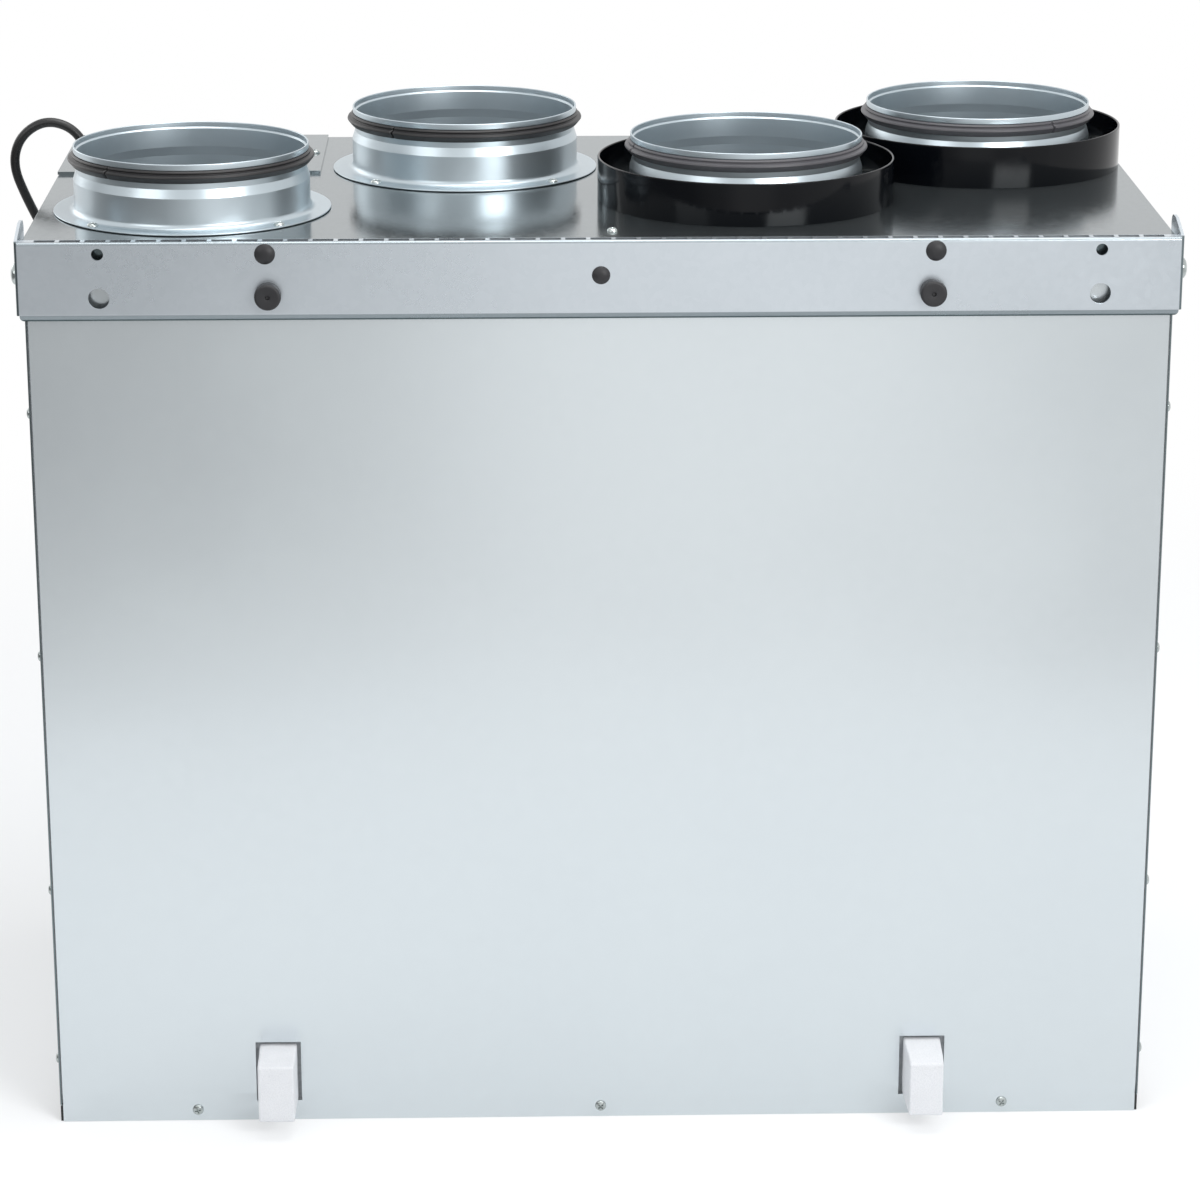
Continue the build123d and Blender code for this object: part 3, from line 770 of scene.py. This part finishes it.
@dataclass(frozen=True)
class ScrewGroup:
    """Screw heads that show on one face of the casing: low domes, with a cross recess where they are screws."""

    name: str
    solid: str
    places: tuple[tuple[Facing, Point], ...]
    radius: float = 0.0048
    height: float = 0.0028
    recessed: bool = True
    recess_span: float = 0.0054
    recess_width: float = 0.0012
    recess_depth: float = 0.0015
    recess_step: float = 0.00025
    rim_share: float = 0.15

    def head(self, turn: float) -> Surface:
        """Work out one head on its own XY plane.

        Over the share of the radius the height falls as one less the power 3 of the share, to the power 0.6.
        Inside the two crossed bars the surface sinks by the recess depth, over a step of a quarter millimetre.

        Args:
            turn: Angle of the cross, in radians.

        Returns:
            Points by row and column, and their quads.
        """
        share = np.concatenate([np.linspace(0, 1, 22), [1.0, 0.0]])
        angles = evenly(56)[:, None]
        x, y = np.cos(angles) * share * self.radius, np.sin(angles) * share * self.radius
        rim = self.rim_share * self.height
        height = rim + (self.height - rim) * (1 - share[:22] ** 3) ** 0.6
        z = np.broadcast_to(np.concatenate([height, [0.0, 0.0]]), x.shape)
        if self.recessed:
            u = np.abs(x * math.cos(turn) + y * math.sin(turn))
            v = np.abs(y * math.cos(turn) - x * math.sin(turn))
            bar = np.maximum(u - self.recess_span / 2, v - self.recess_width / 2)
            other = np.maximum(v - self.recess_span / 2, u - self.recess_width / 2)
            deep = np.clip(-np.minimum(bar, other) / self.recess_step, 0, 1)
            z = z - self.recess_depth * deep * (z > 0)
        rows = np.stack([x, y, z], axis=-1)[:, ::-1]
        return rows.reshape(-1, 3), grid_quads(*rows.shape[:2], True, False)

    def build(self, finishes: Finishes) -> None:
        """Build and dress the group: every head has a seeded turn of its own.

        Args:
            finishes: The finish of each slot.
        """
        turns = np.random.default_rng(len(self.places)).uniform(0, math.pi, len(self.places))
        heads = []
        for (facing, place), turn in zip(self.places, turns):
            points, quads = self.head(turn)
            heads.append((placed(points, place, facing), quads))
        dress(mesh_piece(self.name, *joined(heads), sharp=50.0), Slot.SCREWS, finishes, self.solid)


@dataclass(frozen=True)
class WallPad:
    """One foam pad that stands out of its cut-out: a cut block with soft edges and slightly wavy faces."""

    side: int
    taper: float
    droop: float
    width: float = 0.033
    height: float = 0.053
    low: float = 0.018
    proud: float = 0.045
    depth: float = 0.0515
    column: float = 0.281
    edge: float = 0.0022
    waviness: float = 0.0003
    steps: int = 40

    def block(self) -> Surface:
        """Work out the block's surface.

        Six square grids cover a cube. Each point is held inside the block less its edge radius, and then pushed
        out from there by that radius, which rounds edges and corners. A seeded sum of waves moves it a little.
        Towards its outer end the pad narrows by its taper, and its upper side sinks by its droop.

        Returns:
            Points and quads.
        """
        share = np.sin(np.linspace(-1, 1, self.steps) * math.pi / 2)
        u, v = np.meshgrid(share, share, indexing="ij")
        ones = np.ones_like(u)
        faces = [(ones, u, v), (-ones, v, u), (v, ones, u), (u, -ones, v), (u, v, ones), (v, u, -ones)]
        cube = np.concatenate([np.stack(face, axis=-1).reshape(-1, 3) for face in faces])
        half = np.array([self.width, self.depth, self.height]) / 2
        inner = half - self.edge
        held = np.clip(cube * half, -inner, inner)
        out = cube * half - held
        length = np.linalg.norm(out, axis=1, keepdims=True)
        normal = out / np.maximum(length, 1e-9)
        points = held + normal * self.edge
        seed = np.random.default_rng(11 + self.side)
        waves = seed.uniform(60, 260, (6, 3)) * seed.choice([-1, 1], (6, 3))
        phase = seed.uniform(0, 2 * math.pi, 6)
        swell = np.sin(points @ waves.T + phase).mean(axis=1, keepdims=True)
        points = points + normal * swell * self.waviness - normal * self.waviness
        outer = np.clip(0.5 - points[:, 1] / self.depth, 0, 1)
        points[:, 0] *= 1 - self.taper * outer
        points[:, 2] -= self.droop * outer**3 * (points[:, 2] / self.height + 0.5)
        centre = (self.side * self.column, WALL_FACE - self.proud + self.depth / 2, self.low + self.height / 2)
        face = np.zeros((self.steps**2, 3)), grid_quads(self.steps, self.steps, False, False)
        quads = joined([face] * 6)[1]
        return points + np.array(centre), quads

    def build(self, finishes: Finishes) -> None:
        """Args:
            finishes: The finish of each slot.
        """
        name = "left" if self.side < 0 else "right"
        pad = mesh_piece(f"foam_pad_{name}", *self.block(), sharp=80.0)
        dress(pad, Slot.PAD, finishes, f"wall_pad_{name}")


@dataclass(frozen=True)
class MainsLead:
    """The mains lead: over the casing's left edge, down its side, coiled behind it, and its plug."""

    radius: float = 0.0042
    outlet: Point = (-0.4475, 0.068, 0.7908)
    coil_centre: tuple[float, float] = (-0.420, 0.312)
    outer_lane: float = 0.0502
    inner_lane: float = 0.0418
    upper_lane: float = 0.0460
    coil_turns: float = 3.25
    points_a_turn: int = 12
    crossing: float = 1 / 3
    length: float = 1.954
    boot_length: float = 0.026
    boot_foot: float = 0.0072
    boot_taper: float = 0.0020
    boot_plain: float = 0.12
    ribs: int = 5
    rib_depth: float = 0.0004
    plug_radius: float = 0.0185
    plug_axis: tuple[float, float] = (0.358, 0.0185)
    plug_back: float = -0.350
    relief_length: float = 0.024
    relief_back: float = 0.0056
    relief_swell: float = 0.0029
    relief_groove: float = 0.0006
    plug_neck: float = 0.0085
    plug_edge: float = 0.0016
    grip_depth: float = 0.035
    body_length: float = 0.040
    pin_radius: float = 0.0024
    pin_length: float = 0.019
    pin_spacing: float = 0.019

    def route(self) -> Array:
        """Return the route's points from the outlet to the coil.

        Returns:
            One row a point.
        """
        return np.array(
            [
                self.outlet,
                (-0.4475, 0.0680, 0.8070),
                (-0.4610, 0.0680, 0.8260),
                (-0.4850, 0.0685, 0.8315),
                (-0.5070, 0.0690, 0.8165),
                (-0.5140, 0.0695, 0.7915),
                (-0.5035, 0.0705, 0.7620),
                (-0.4870, 0.0720, 0.7270),
                (-0.4812, 0.0760, 0.6720),
                (-0.4800, 0.0840, 0.5900),
                (-0.4804, 0.0960, 0.4780),
                (-0.4810, 0.1130, 0.3800),
                (-0.4816, 0.1350, 0.2830),
                (-0.4820, 0.1600, 0.1950),
                (-0.4822, 0.1840, 0.1200),
                (-0.4820, 0.2060, 0.0620),
                (-0.4810, 0.2290, 0.0200),
                (-0.4785, 0.2580, self.radius),
                (-0.4730, 0.2880, self.radius),
            ]
        )

    def coil(self) -> Array:
        """Return the coil's points: three lanes, and a quarter turn on the inner shoulder.

        The share of each crossing runs smoothly from 0 to 1 over the last third of a turn. The first turn moves in
        by a cord's width there. The second climbs over the first, and the third over the second to its inner
        side: each keeps one diameter from the cord beneath, at an angle that turns with the share.

        Returns:
            One row a point.
        """
        steps = np.arange(0.5, self.coil_turns * self.points_a_turn)
        turns = steps / self.points_a_turn
        share = np.clip((np.mod(turns, 1.0) - 1 + self.crossing) / self.crossing, 0, 1)
        share = share * share * (3 - 2 * share)
        lap = np.floor(turns).astype(int)
        gap = 2 * self.radius
        first = self.outer_lane + (self.inner_lane - self.outer_lane) * share
        over = np.radians(180 - 120 * share)
        second = first + gap * np.cos(over)
        second_height = self.radius + gap * np.sin(over)
        shoulder = np.radians(60 + 120 * share)
        third = second + gap * np.cos(shoulder)
        third_height = second_height + gap * np.sin(shoulder)
        flat = np.ones_like(turns)
        radius = np.choose(lap, [first, second, third, flat * (self.upper_lane - gap)])
        height = np.choose(lap, [flat * self.radius, second_height, third_height, flat * third_height[0]])
        corner = radius / math.cos(math.pi / self.points_a_turn)
        angle = math.pi - 2 * math.pi * turns
        x = self.coil_centre[0] + corner * np.cos(angle)
        y = self.coil_centre[1] + corner * np.sin(angle)
        return np.stack([x, y, height], axis=-1)

    def tail(self) -> Array:
        """Return the points from the coil to the plug's relief.

        Returns:
            One row a point.
        """
        y, z = self.plug_axis
        rise = [(-0.4050, y - 0.0075, 0.0125), (-0.3850, y - 0.0040, 0.0145), (-0.3670, y - 0.0005, 0.0176)]
        return np.array([*rise, (self.plug_back, y, z), (self.plug_back + 0.003, y, z)])

    def cord(self) -> Piece:
        """Build the lead as one smooth spline that follows all its points.

        Returns:
            The lead, as a curve with its thickness.
        """
        points = np.concatenate([self.route(), self.coil(), self.tail()])
        curve = bpy.data.curves.new("lead_cord", "CURVE")
        curve.dimensions = "3D"
        spline = curve.splines.new("NURBS")
        spline.points.add(len(points) - 1)
        spline.points.foreach_set("co", np.column_stack([points, np.ones(len(points))]).ravel())
        spline.order_u = 3
        spline.use_endpoint_u = True
        spline.resolution_u = 8
        curve.bevel_depth = self.radius
        curve.bevel_resolution = 5
        curve.use_fill_caps = True
        piece = bpy.data.objects.new("lead_cord", curve)
        bpy.context.scene.collection.objects.link(piece)
        return piece

    @staticmethod
    def centreline(cord: Piece) -> Array:
        """Read a cord's own line from its spline, without its thickness.

        Args:
            cord: The cord.

        Returns:
            One row a point.
        """
        bare = cord.copy()
        bare.data = cord.data.copy()
        bare.data.bevel_depth = 0.0
        bare.data.use_fill_caps = False
        mesh = bpy.data.meshes.new_from_object(bare)
        points = np.zeros(len(mesh.vertices) * 3, dtype=np.float32)
        mesh.vertices.foreach_get("co", points)
        curve = bare.data
        bpy.data.objects.remove(bare)
        bpy.data.curves.remove(curve)
        bpy.data.meshes.remove(mesh)
        return points.reshape(-1, 3).astype(float)

    def boot(self, line: Array) -> Piece:
        """Build the ribbed boot at the outlet: a tapered sleeve along the cord's own line.

        The radius falls evenly from the foot to the tip, and rounded grooves cut into it between five ribs. Each
        row lies square to the line, in a frame made from the line's direction and the Y axis.

        Args:
            line: Points of the cord's line, from the outlet on.

        Returns:
            The boot.
        """
        run = np.concatenate([[0], np.cumsum(np.linalg.norm(np.diff(line, axis=0), axis=1))])
        along = np.linspace(0, self.boot_length, 60)
        centre = np.stack([np.interp(along, run, line[:, axis]) for axis in range(3)], axis=-1)
        ahead = np.gradient(centre, axis=0)
        ahead /= np.linalg.norm(ahead, axis=1, keepdims=True)
        across = np.cross(ahead, (0.0, 1.0, 0.0))
        across /= np.linalg.norm(across, axis=1, keepdims=True)
        third = np.cross(ahead, across)
        share = along / self.boot_length
        ribbed = share > self.boot_plain
        ribs = np.clip(np.cos(share * self.ribs * 2 * math.pi) * 1.6, -1, 1) * np.where(ribbed, 1, 0)
        radius = self.boot_foot - self.boot_taper * share - self.rib_depth * (1 - ribs) * ribbed
        radius[[0, -1]] = 0.0
        centre[-1] = centre[-2]
        angles = evenly(40)[None, :, None]
        ring = np.cos(angles) * across[:, None] + np.sin(angles) * third[:, None]
        rows = centre[:, None] + radius[:, None, None] * ring
        quads = grid_quads(len(along), 40, False, True)[:, ::-1]
        return mesh_piece("lead_boot", rows.reshape(-1, 3), quads, sharp=60.0)

    def plug_body(self) -> Piece:
        """Build the plug: a ribbed relief that swells into a round body, turned, with finger grooves round it.

        In the body's middle the radius is cut by a share of the fourth power of a cosine of the angle, twelve
        times round.

        Returns:
            The plug's body.
        """
        relief = np.linspace(0, 1, 46)
        wave = np.clip(np.sin(relief * self.ribs * 2 * math.pi) * 1.8, -1, 1)
        grooves = self.relief_groove * wave * np.sin(relief * math.pi)
        swelling = self.relief_back + self.relief_swell * relief + grooves
        back = np.stack([relief * self.relief_length, swelling], axis=-1)
        swell = np.linspace(0, 1, 18)[1:]
        shoulder = self.plug_neck + (self.plug_radius - self.plug_neck) * np.sin(swell * math.pi / 2) ** 1.4
        middle = np.stack([self.relief_length + swell * 0.4 * self.body_length, shoulder], axis=-1)
        face = self.relief_length + self.body_length
        arc = np.linspace(0, math.pi / 2, 7)
        turn = self.plug_edge * np.stack([np.sin(arc), np.cos(arc)], axis=-1)
        edge = turn + (face - self.plug_edge, self.plug_radius - self.plug_edge)
        level = np.linspace(0.44, 0.94, 14) * self.body_length + self.relief_length
        straight = np.stack([level, np.full(14, self.plug_radius)], axis=-1)
        line = np.concatenate([[(0.0, 0.0)], back, middle, straight, edge, [(face, 0.0)]])
        angles = evenly(144)
        height, radius = line.T
        grip = np.exp(-(((height - self.relief_length) / self.body_length - 0.62) / 0.2) ** 4)
        cut = 1 - self.grip_depth * grip * np.cos(angles * 6)[:, None] ** 4
        rows = turned(np.stack([radius, height], axis=-1), angles)
        rows[..., :2] *= cut[..., None]
        points = placed(rows.reshape(-1, 3), (self.plug_back, *self.plug_axis), Facing.RIGHT)
        return mesh_piece("plug_body", points, grid_quads(*rows.shape[:2], True, False), sharp=50.0)

    def pins(self) -> Piece:
        """Build the two pins: round bars with domed tips, turned.

        Returns:
            Both pins as one piece.
        """
        share = np.linspace(0, math.pi / 2, 8)
        tip = self.pin_radius * np.stack([np.cos(share), np.sin(share) - 1], axis=-1) + (0.0, self.pin_length)
        outline = np.concatenate([[(0.0, 0.0), (self.pin_radius, 0.0)], tip])
        face = self.plug_back + self.relief_length + self.body_length
        y, z = self.plug_axis
        places = [(face, y + side * self.pin_spacing / 2, z) for side in (-1, 1)]
        bars = [lathe(outline, 32, place, Facing.RIGHT, closed=False) for place in places]
        return mesh_piece("plug_bars", *joined(bars), sharp=50.0)

    def build(self, finishes: Finishes) -> None:
        """Args:
            finishes: The finish of each slot.
        """
        cord = self.cord()
        dress(cord, Slot.SHEATH, finishes, "mains_cord", "mains_cord_coil", "mains_cord_tail")
        boot = self.boot(self.centreline(cord))
        dress(boot, Slot.PLUG, finishes)
        body = self.plug_body()
        dress(body, Slot.PLUG, finishes, "mains_plug")
        bars = self.pins()
        dress(bars, Slot.PINS, finishes, "plug_pins")


def make_screws(spigots: tuple[DuctSpigot, ...]) -> tuple[ScrewGroup, ...]:
    """Lay out every group of screw heads.

    Args:
        spigots: The spigots, whose flanges each carry four screws at 45 degrees and every quarter turn on.

    Returns:
        The groups.
    """
    circle = 0.1088 / math.sqrt(2)
    corners = [(u * circle, v * circle) for u in (-1, 1) for v in (-1, 1)]
    sides = ((Facing.LEFT, -1), (Facing.RIGHT, 1))
    levels = (0.058, 0.2155, 0.427, 0.6385)
    rear = tuple((Facing.WALL, (x, -0.2225, 0.010)) for x in (-0.3525, 0.0, 0.3525))
    side = tuple((way, (sign * 0.4725, -0.216, z)) for way, sign in sides for z in levels)
    ears = tuple((way, (sign * 0.4775, -0.224, 0.758)) for way, sign in sides)
    flanges = tuple((Facing.UP, (one.x + u, one.y + v, TOP + one.wall)) for one in spigots for u, v in corners)
    return (
        ScrewGroup("rear_heads", "rear_screws", rear),
        ScrewGroup("side_heads", "side_screws", side),
        ScrewGroup("ear_domes", "ear_bolts", ears, radius=0.0090, height=0.0044, recessed=False),
        ScrewGroup("flange_heads", "flange_screws", flanges),
        ScrewGroup("top_head", "top_screw", ((Facing.UP, (0.0104, -0.200, TOP)),)),
        ScrewGroup("cover_head", "cover_screw", ((Facing.UP, (-0.2495, 0.1357, 0.7886)),)),
    )


def dress_solids(finishes: Finishes) -> None:
    """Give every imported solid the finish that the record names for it.

    Args:
        finishes: The finish of each slot.
    """
    slots = {entry["node"]: Slot(entry["material_slot"]) for entry in frame["record"]["subparts"]}
    for name, solid in frame["nodes"].items():
        for holder in solid.material_slots:
            holder.material = finishes[slots[name]]
        LOG.info("%s: %s", name, slots[name].value)


# The studio


@dataclass(frozen=True)
class PhotoCamera:
    """The camera at the photograph's viewing angle."""

    distance: float = 3.5
    azimuth: float = 1.41
    elevation: float = 17.38
    lens: float = 116.4
    target: Point = (0.0049, 0.0, 0.4051)

    def build(self) -> None:
        """Make the camera, look at the target from the distance, and set it as the scene's."""
        turn, drop = math.radians(self.azimuth), math.radians(self.elevation)
        ahead = np.array([math.sin(turn) * math.cos(drop), math.cos(turn) * math.cos(drop), -math.sin(drop)])
        camera = bpy.data.cameras.new("photo_camera")
        camera.lens = self.lens
        camera.sensor_width = 36.0
        camera.clip_start, camera.clip_end = 0.05, 100.0
        holder = bpy.data.objects.new("photo_camera", camera)
        holder.location = np.array(self.target) - ahead * self.distance
        holder.rotation_euler = (math.pi / 2 - drop, 0.0, -turn)
        bpy.context.scene.collection.objects.link(holder)
        bpy.context.scene.camera = holder


@dataclass(frozen=True)
class SoftBox:
    """One soft lamp: a glowing rectangle that faces its target and isn't seen itself."""

    name: str
    place: Point
    target: Point
    width: float
    height: float
    power: float
    colour: str = "#FFFFFF"

    def build(self) -> None:
        """Make the lamp and turn it to its target."""
        lamp = bpy.data.lights.new(self.name, "AREA")
        lamp.shape = "RECTANGLE"
        lamp.size, lamp.size_y = self.width, self.height
        lamp.energy = self.power
        lamp.color = linear(self.colour)[:3]
        holder = bpy.data.objects.new(self.name, lamp)
        ahead = np.array(self.target) - np.array(self.place)
        holder.location = self.place
        holder.rotation_euler = (
            math.atan2(math.hypot(ahead[0], ahead[1]), -ahead[2]),
            0.0,
            math.atan2(-ahead[0], ahead[1]),
        )
        holder.visible_camera = False
        bpy.context.scene.collection.objects.link(holder)


@dataclass(frozen=True)
class ShadeScreen:
    """A curved screen before the part that only gloss shows: it darkens what the metal mirrors."""

    radius: float = 1.45
    low: float = 0.01
    high: float = 1.0
    start: float = -97.0
    end: float = 62.0
    full: float = 0.34
    pale: float = 0.86
    pale_share: float = 0.62
    tones: tuple[tuple[float, float], ...] = (
        (0.0, 0.35),
        (0.2, 0.16),
        (0.36, 0.24),
        (0.5, 0.5),
        (0.62, 0.95),
        (0.70, 0.92),
        (0.78, 0.68),
        (1.0, 0.9),
    )

    def build(self) -> None:
        """Build the screen: part of an upright cylinder, whose glow follows its tones along its angle.

        From its low edge to its full height a pale tone fades out of it, so its edge doesn't show in the metal.
        """
        angles = np.radians(np.linspace(self.start, self.end, 80))
        x, y = np.sin(angles) * self.radius, -np.cos(angles) * self.radius
        rows = np.stack([np.stack([x, y, np.full_like(x, z)], axis=-1) for z in (self.low, self.high)])
        screen = mesh_piece("shade_screen", rows.reshape(-1, 3), grid_quads(2, len(angles), False, False))
        material, tree, place = blank_material("graded_card")
        axes = add_node(tree, "SeparateXYZ", {0: place}).outputs
        ahead = add_node(tree, "Math", {0: axes[1], 1: -1.0}, operation="MULTIPLY")
        angle = add_node(tree, "Math", {0: axes[0], 1: ahead}, operation="ARCTAN2")
        ends = {"From Min": math.radians(self.start), "From Max": math.radians(self.end)}
        ramp = add_node(tree, "ValToRGB", {0: add_node(tree, "MapRange", {"Value": angle, **ends})})
        ramp.color_ramp.interpolation = "EASE"
        stops = ramp.color_ramp.elements
        while len(stops) < len(self.tones):
            stops.new(0.5)
        for stop, (at, tone) in zip(stops, self.tones):
            stop.position = at
            stop.color = (tone, tone, tone, 1.0)
        fade = {"From Min": self.low, "From Max": self.full, "To Min": self.pale_share, "To Max": 0.0}
        rise = add_node(tree, "MapRange", {"Value": axes[2], **fade})
        tones = {0: rise, 6: ramp, 7: (self.pale, self.pale, self.pale, 1.0)}
        graded = add_node(tree, "Mix", tones, data_type="RGBA")
        glow = add_node(tree, "Emission", {"Color": graded.outputs[2], "Strength": 1.0})
        add_node(tree, "OutputMaterial", {0: glow})
        screen.data.materials.append(material)
        for ray in ("camera", "diffuse", "transmission", "volume_scatter", "shadow"):
            setattr(screen, f"visible_{ray}", False)


@dataclass(frozen=True)
class Studio:
    """The plain pale floor, the white surround, the soft lamps and the shade screen."""

    floor_size: float = 60.0
    floor_level: float = -0.0004
    floor_colour: str = "#F1F2F3"
    surround_colour: str = "#F4F7FA"
    surround: float = 0.66
    near_glow: float = 0.45
    near_radius: float = 0.9
    far_radius: float = 2.2
    lamps: tuple[SoftBox, ...] = (
        SoftBox("right_box", (1.20, -2.08, 1.55), (0.05, 0.0, 0.80), 1.2, 0.75, 24.0),
        SoftBox("left_box", (-2.00, -2.20, 1.90), (0.0, 0.0, 0.45), 1.4, 1.4, 9.0),
        SoftBox("top_box", (0.2, -0.2, 3.0), (0.0, 0.0, 0.8), 2.0, 2.0, 40.0),
        SoftBox("back_box", (-1.90, 1.60, 1.40), (0.0, 0.0, 0.45), 1.2, 1.2, 6.0),
    )

    @staticmethod
    def seen(tree: Tree) -> bpy.types.Node:
        """Add the nodes that tell the rays that see the studio from those that it only lights.

        Args:
            tree: The node tree.

        Returns:
            A node whose output is 1 for rays from the camera, from gloss and through glass.
        """
        path = add_node(tree, "LightPath").outputs
        both = add_node(tree, "Math", {0: path["Is Camera Ray"], 1: path["Is Glossy Ray"]}, operation="MAXIMUM")
        return add_node(tree, "Math", {0: both, 1: path["Is Transmission Ray"]}, operation="MAXIMUM")

    def build_floor(self) -> None:
        """Lay a matt floor that keeps the part's shadow, and turns to plain white away from the part."""
        half, low = self.floor_size / 2, self.floor_level
        points = np.array([(-half, -half, low), (half, -half, low), (half, half, low), (-half, half, low)])
        floor = mesh_piece("floor", points, np.array([[0, 1, 2, 3]]))
        material, tree, place = blank_material("painted_floor")
        away = add_node(tree, "VectorMath", {0: place}, operation="LENGTH").outputs["Value"]
        ends = {
            "From Min": self.near_radius,
            "From Max": self.far_radius,
            "To Min": self.near_glow,
            "To Max": 1.0,
        }
        glow = add_node(tree, "MapRange", {"Value": away, **ends}, interpolation_type="SMOOTHSTEP")
        share = add_node(tree, "Math", {0: self.seen(tree), 1: glow}, operation="MULTIPLY")
        matt = add_node(tree, "BsdfDiffuse", {"Color": linear(self.floor_colour), "Roughness": 1.0})
        white = add_node(tree, "Emission", {"Color": WHITE, "Strength": 1.0})
        add_node(tree, "OutputMaterial", {0: add_node(tree, "MixShader", {0: share, 1: matt, 2: white})})
        floor.data.materials.append(material)

    def build_surround(self) -> None:
        """Set the surround: white where it is seen, and a softer grey where it lights the part."""
        world = bpy.data.worlds.new("surround")
        world.use_nodes = True
        tree = world.node_tree
        tree.nodes.clear()
        soft = add_node(tree, "Background", {"Color": linear(self.surround_colour), "Strength": self.surround})
        white = add_node(tree, "Background", {"Color": WHITE, "Strength": 1.0})
        add_node(tree, "OutputWorld", {0: add_node(tree, "MixShader", {0: self.seen(tree), 1: soft, 2: white})})
        bpy.context.scene.world = world

    def build(self) -> None:
        """Build the whole studio."""
        bpy.context.scene.view_settings.view_transform = "Standard"
        self.build_floor()
        self.build_surround()
        for lamp in self.lamps:
            lamp.build()
        ShadeScreen().build()


def main() -> None:
    """Build the camera, the lead and every other piece, and light them."""
    logging.basicConfig(level=logging.INFO, format="%(name)s %(message)s")
    PhotoCamera().build()
    finishes = make_finishes()
    dress_solids(finishes)
    MainsLead().build(finishes)
    spigots = (
        DuctSpigot(1, -0.3423, -0.0971, math.radians(-129.5)),
        DuctSpigot(2, -0.1135, 0.0799, math.radians(-127.6)),
        DuctSpigot(3, 0.1282, -0.0603, math.radians(-165.0), collar=True),
        DuctSpigot(4, 0.3447, 0.0950, math.radians(-55.7), collar=True),
    )
    for spigot in spigots:
        spigot.build(finishes)
    for group in make_screws(spigots):
        group.build(finishes)
    RailRubber().build(finishes)
    WallPad(-1, taper=0.04, droop=0.001).build(finishes)
    WallPad(1, taper=0.10, droop=0.004).build(finishes)
    Studio().build()


if __name__ == "__main__":
    main()
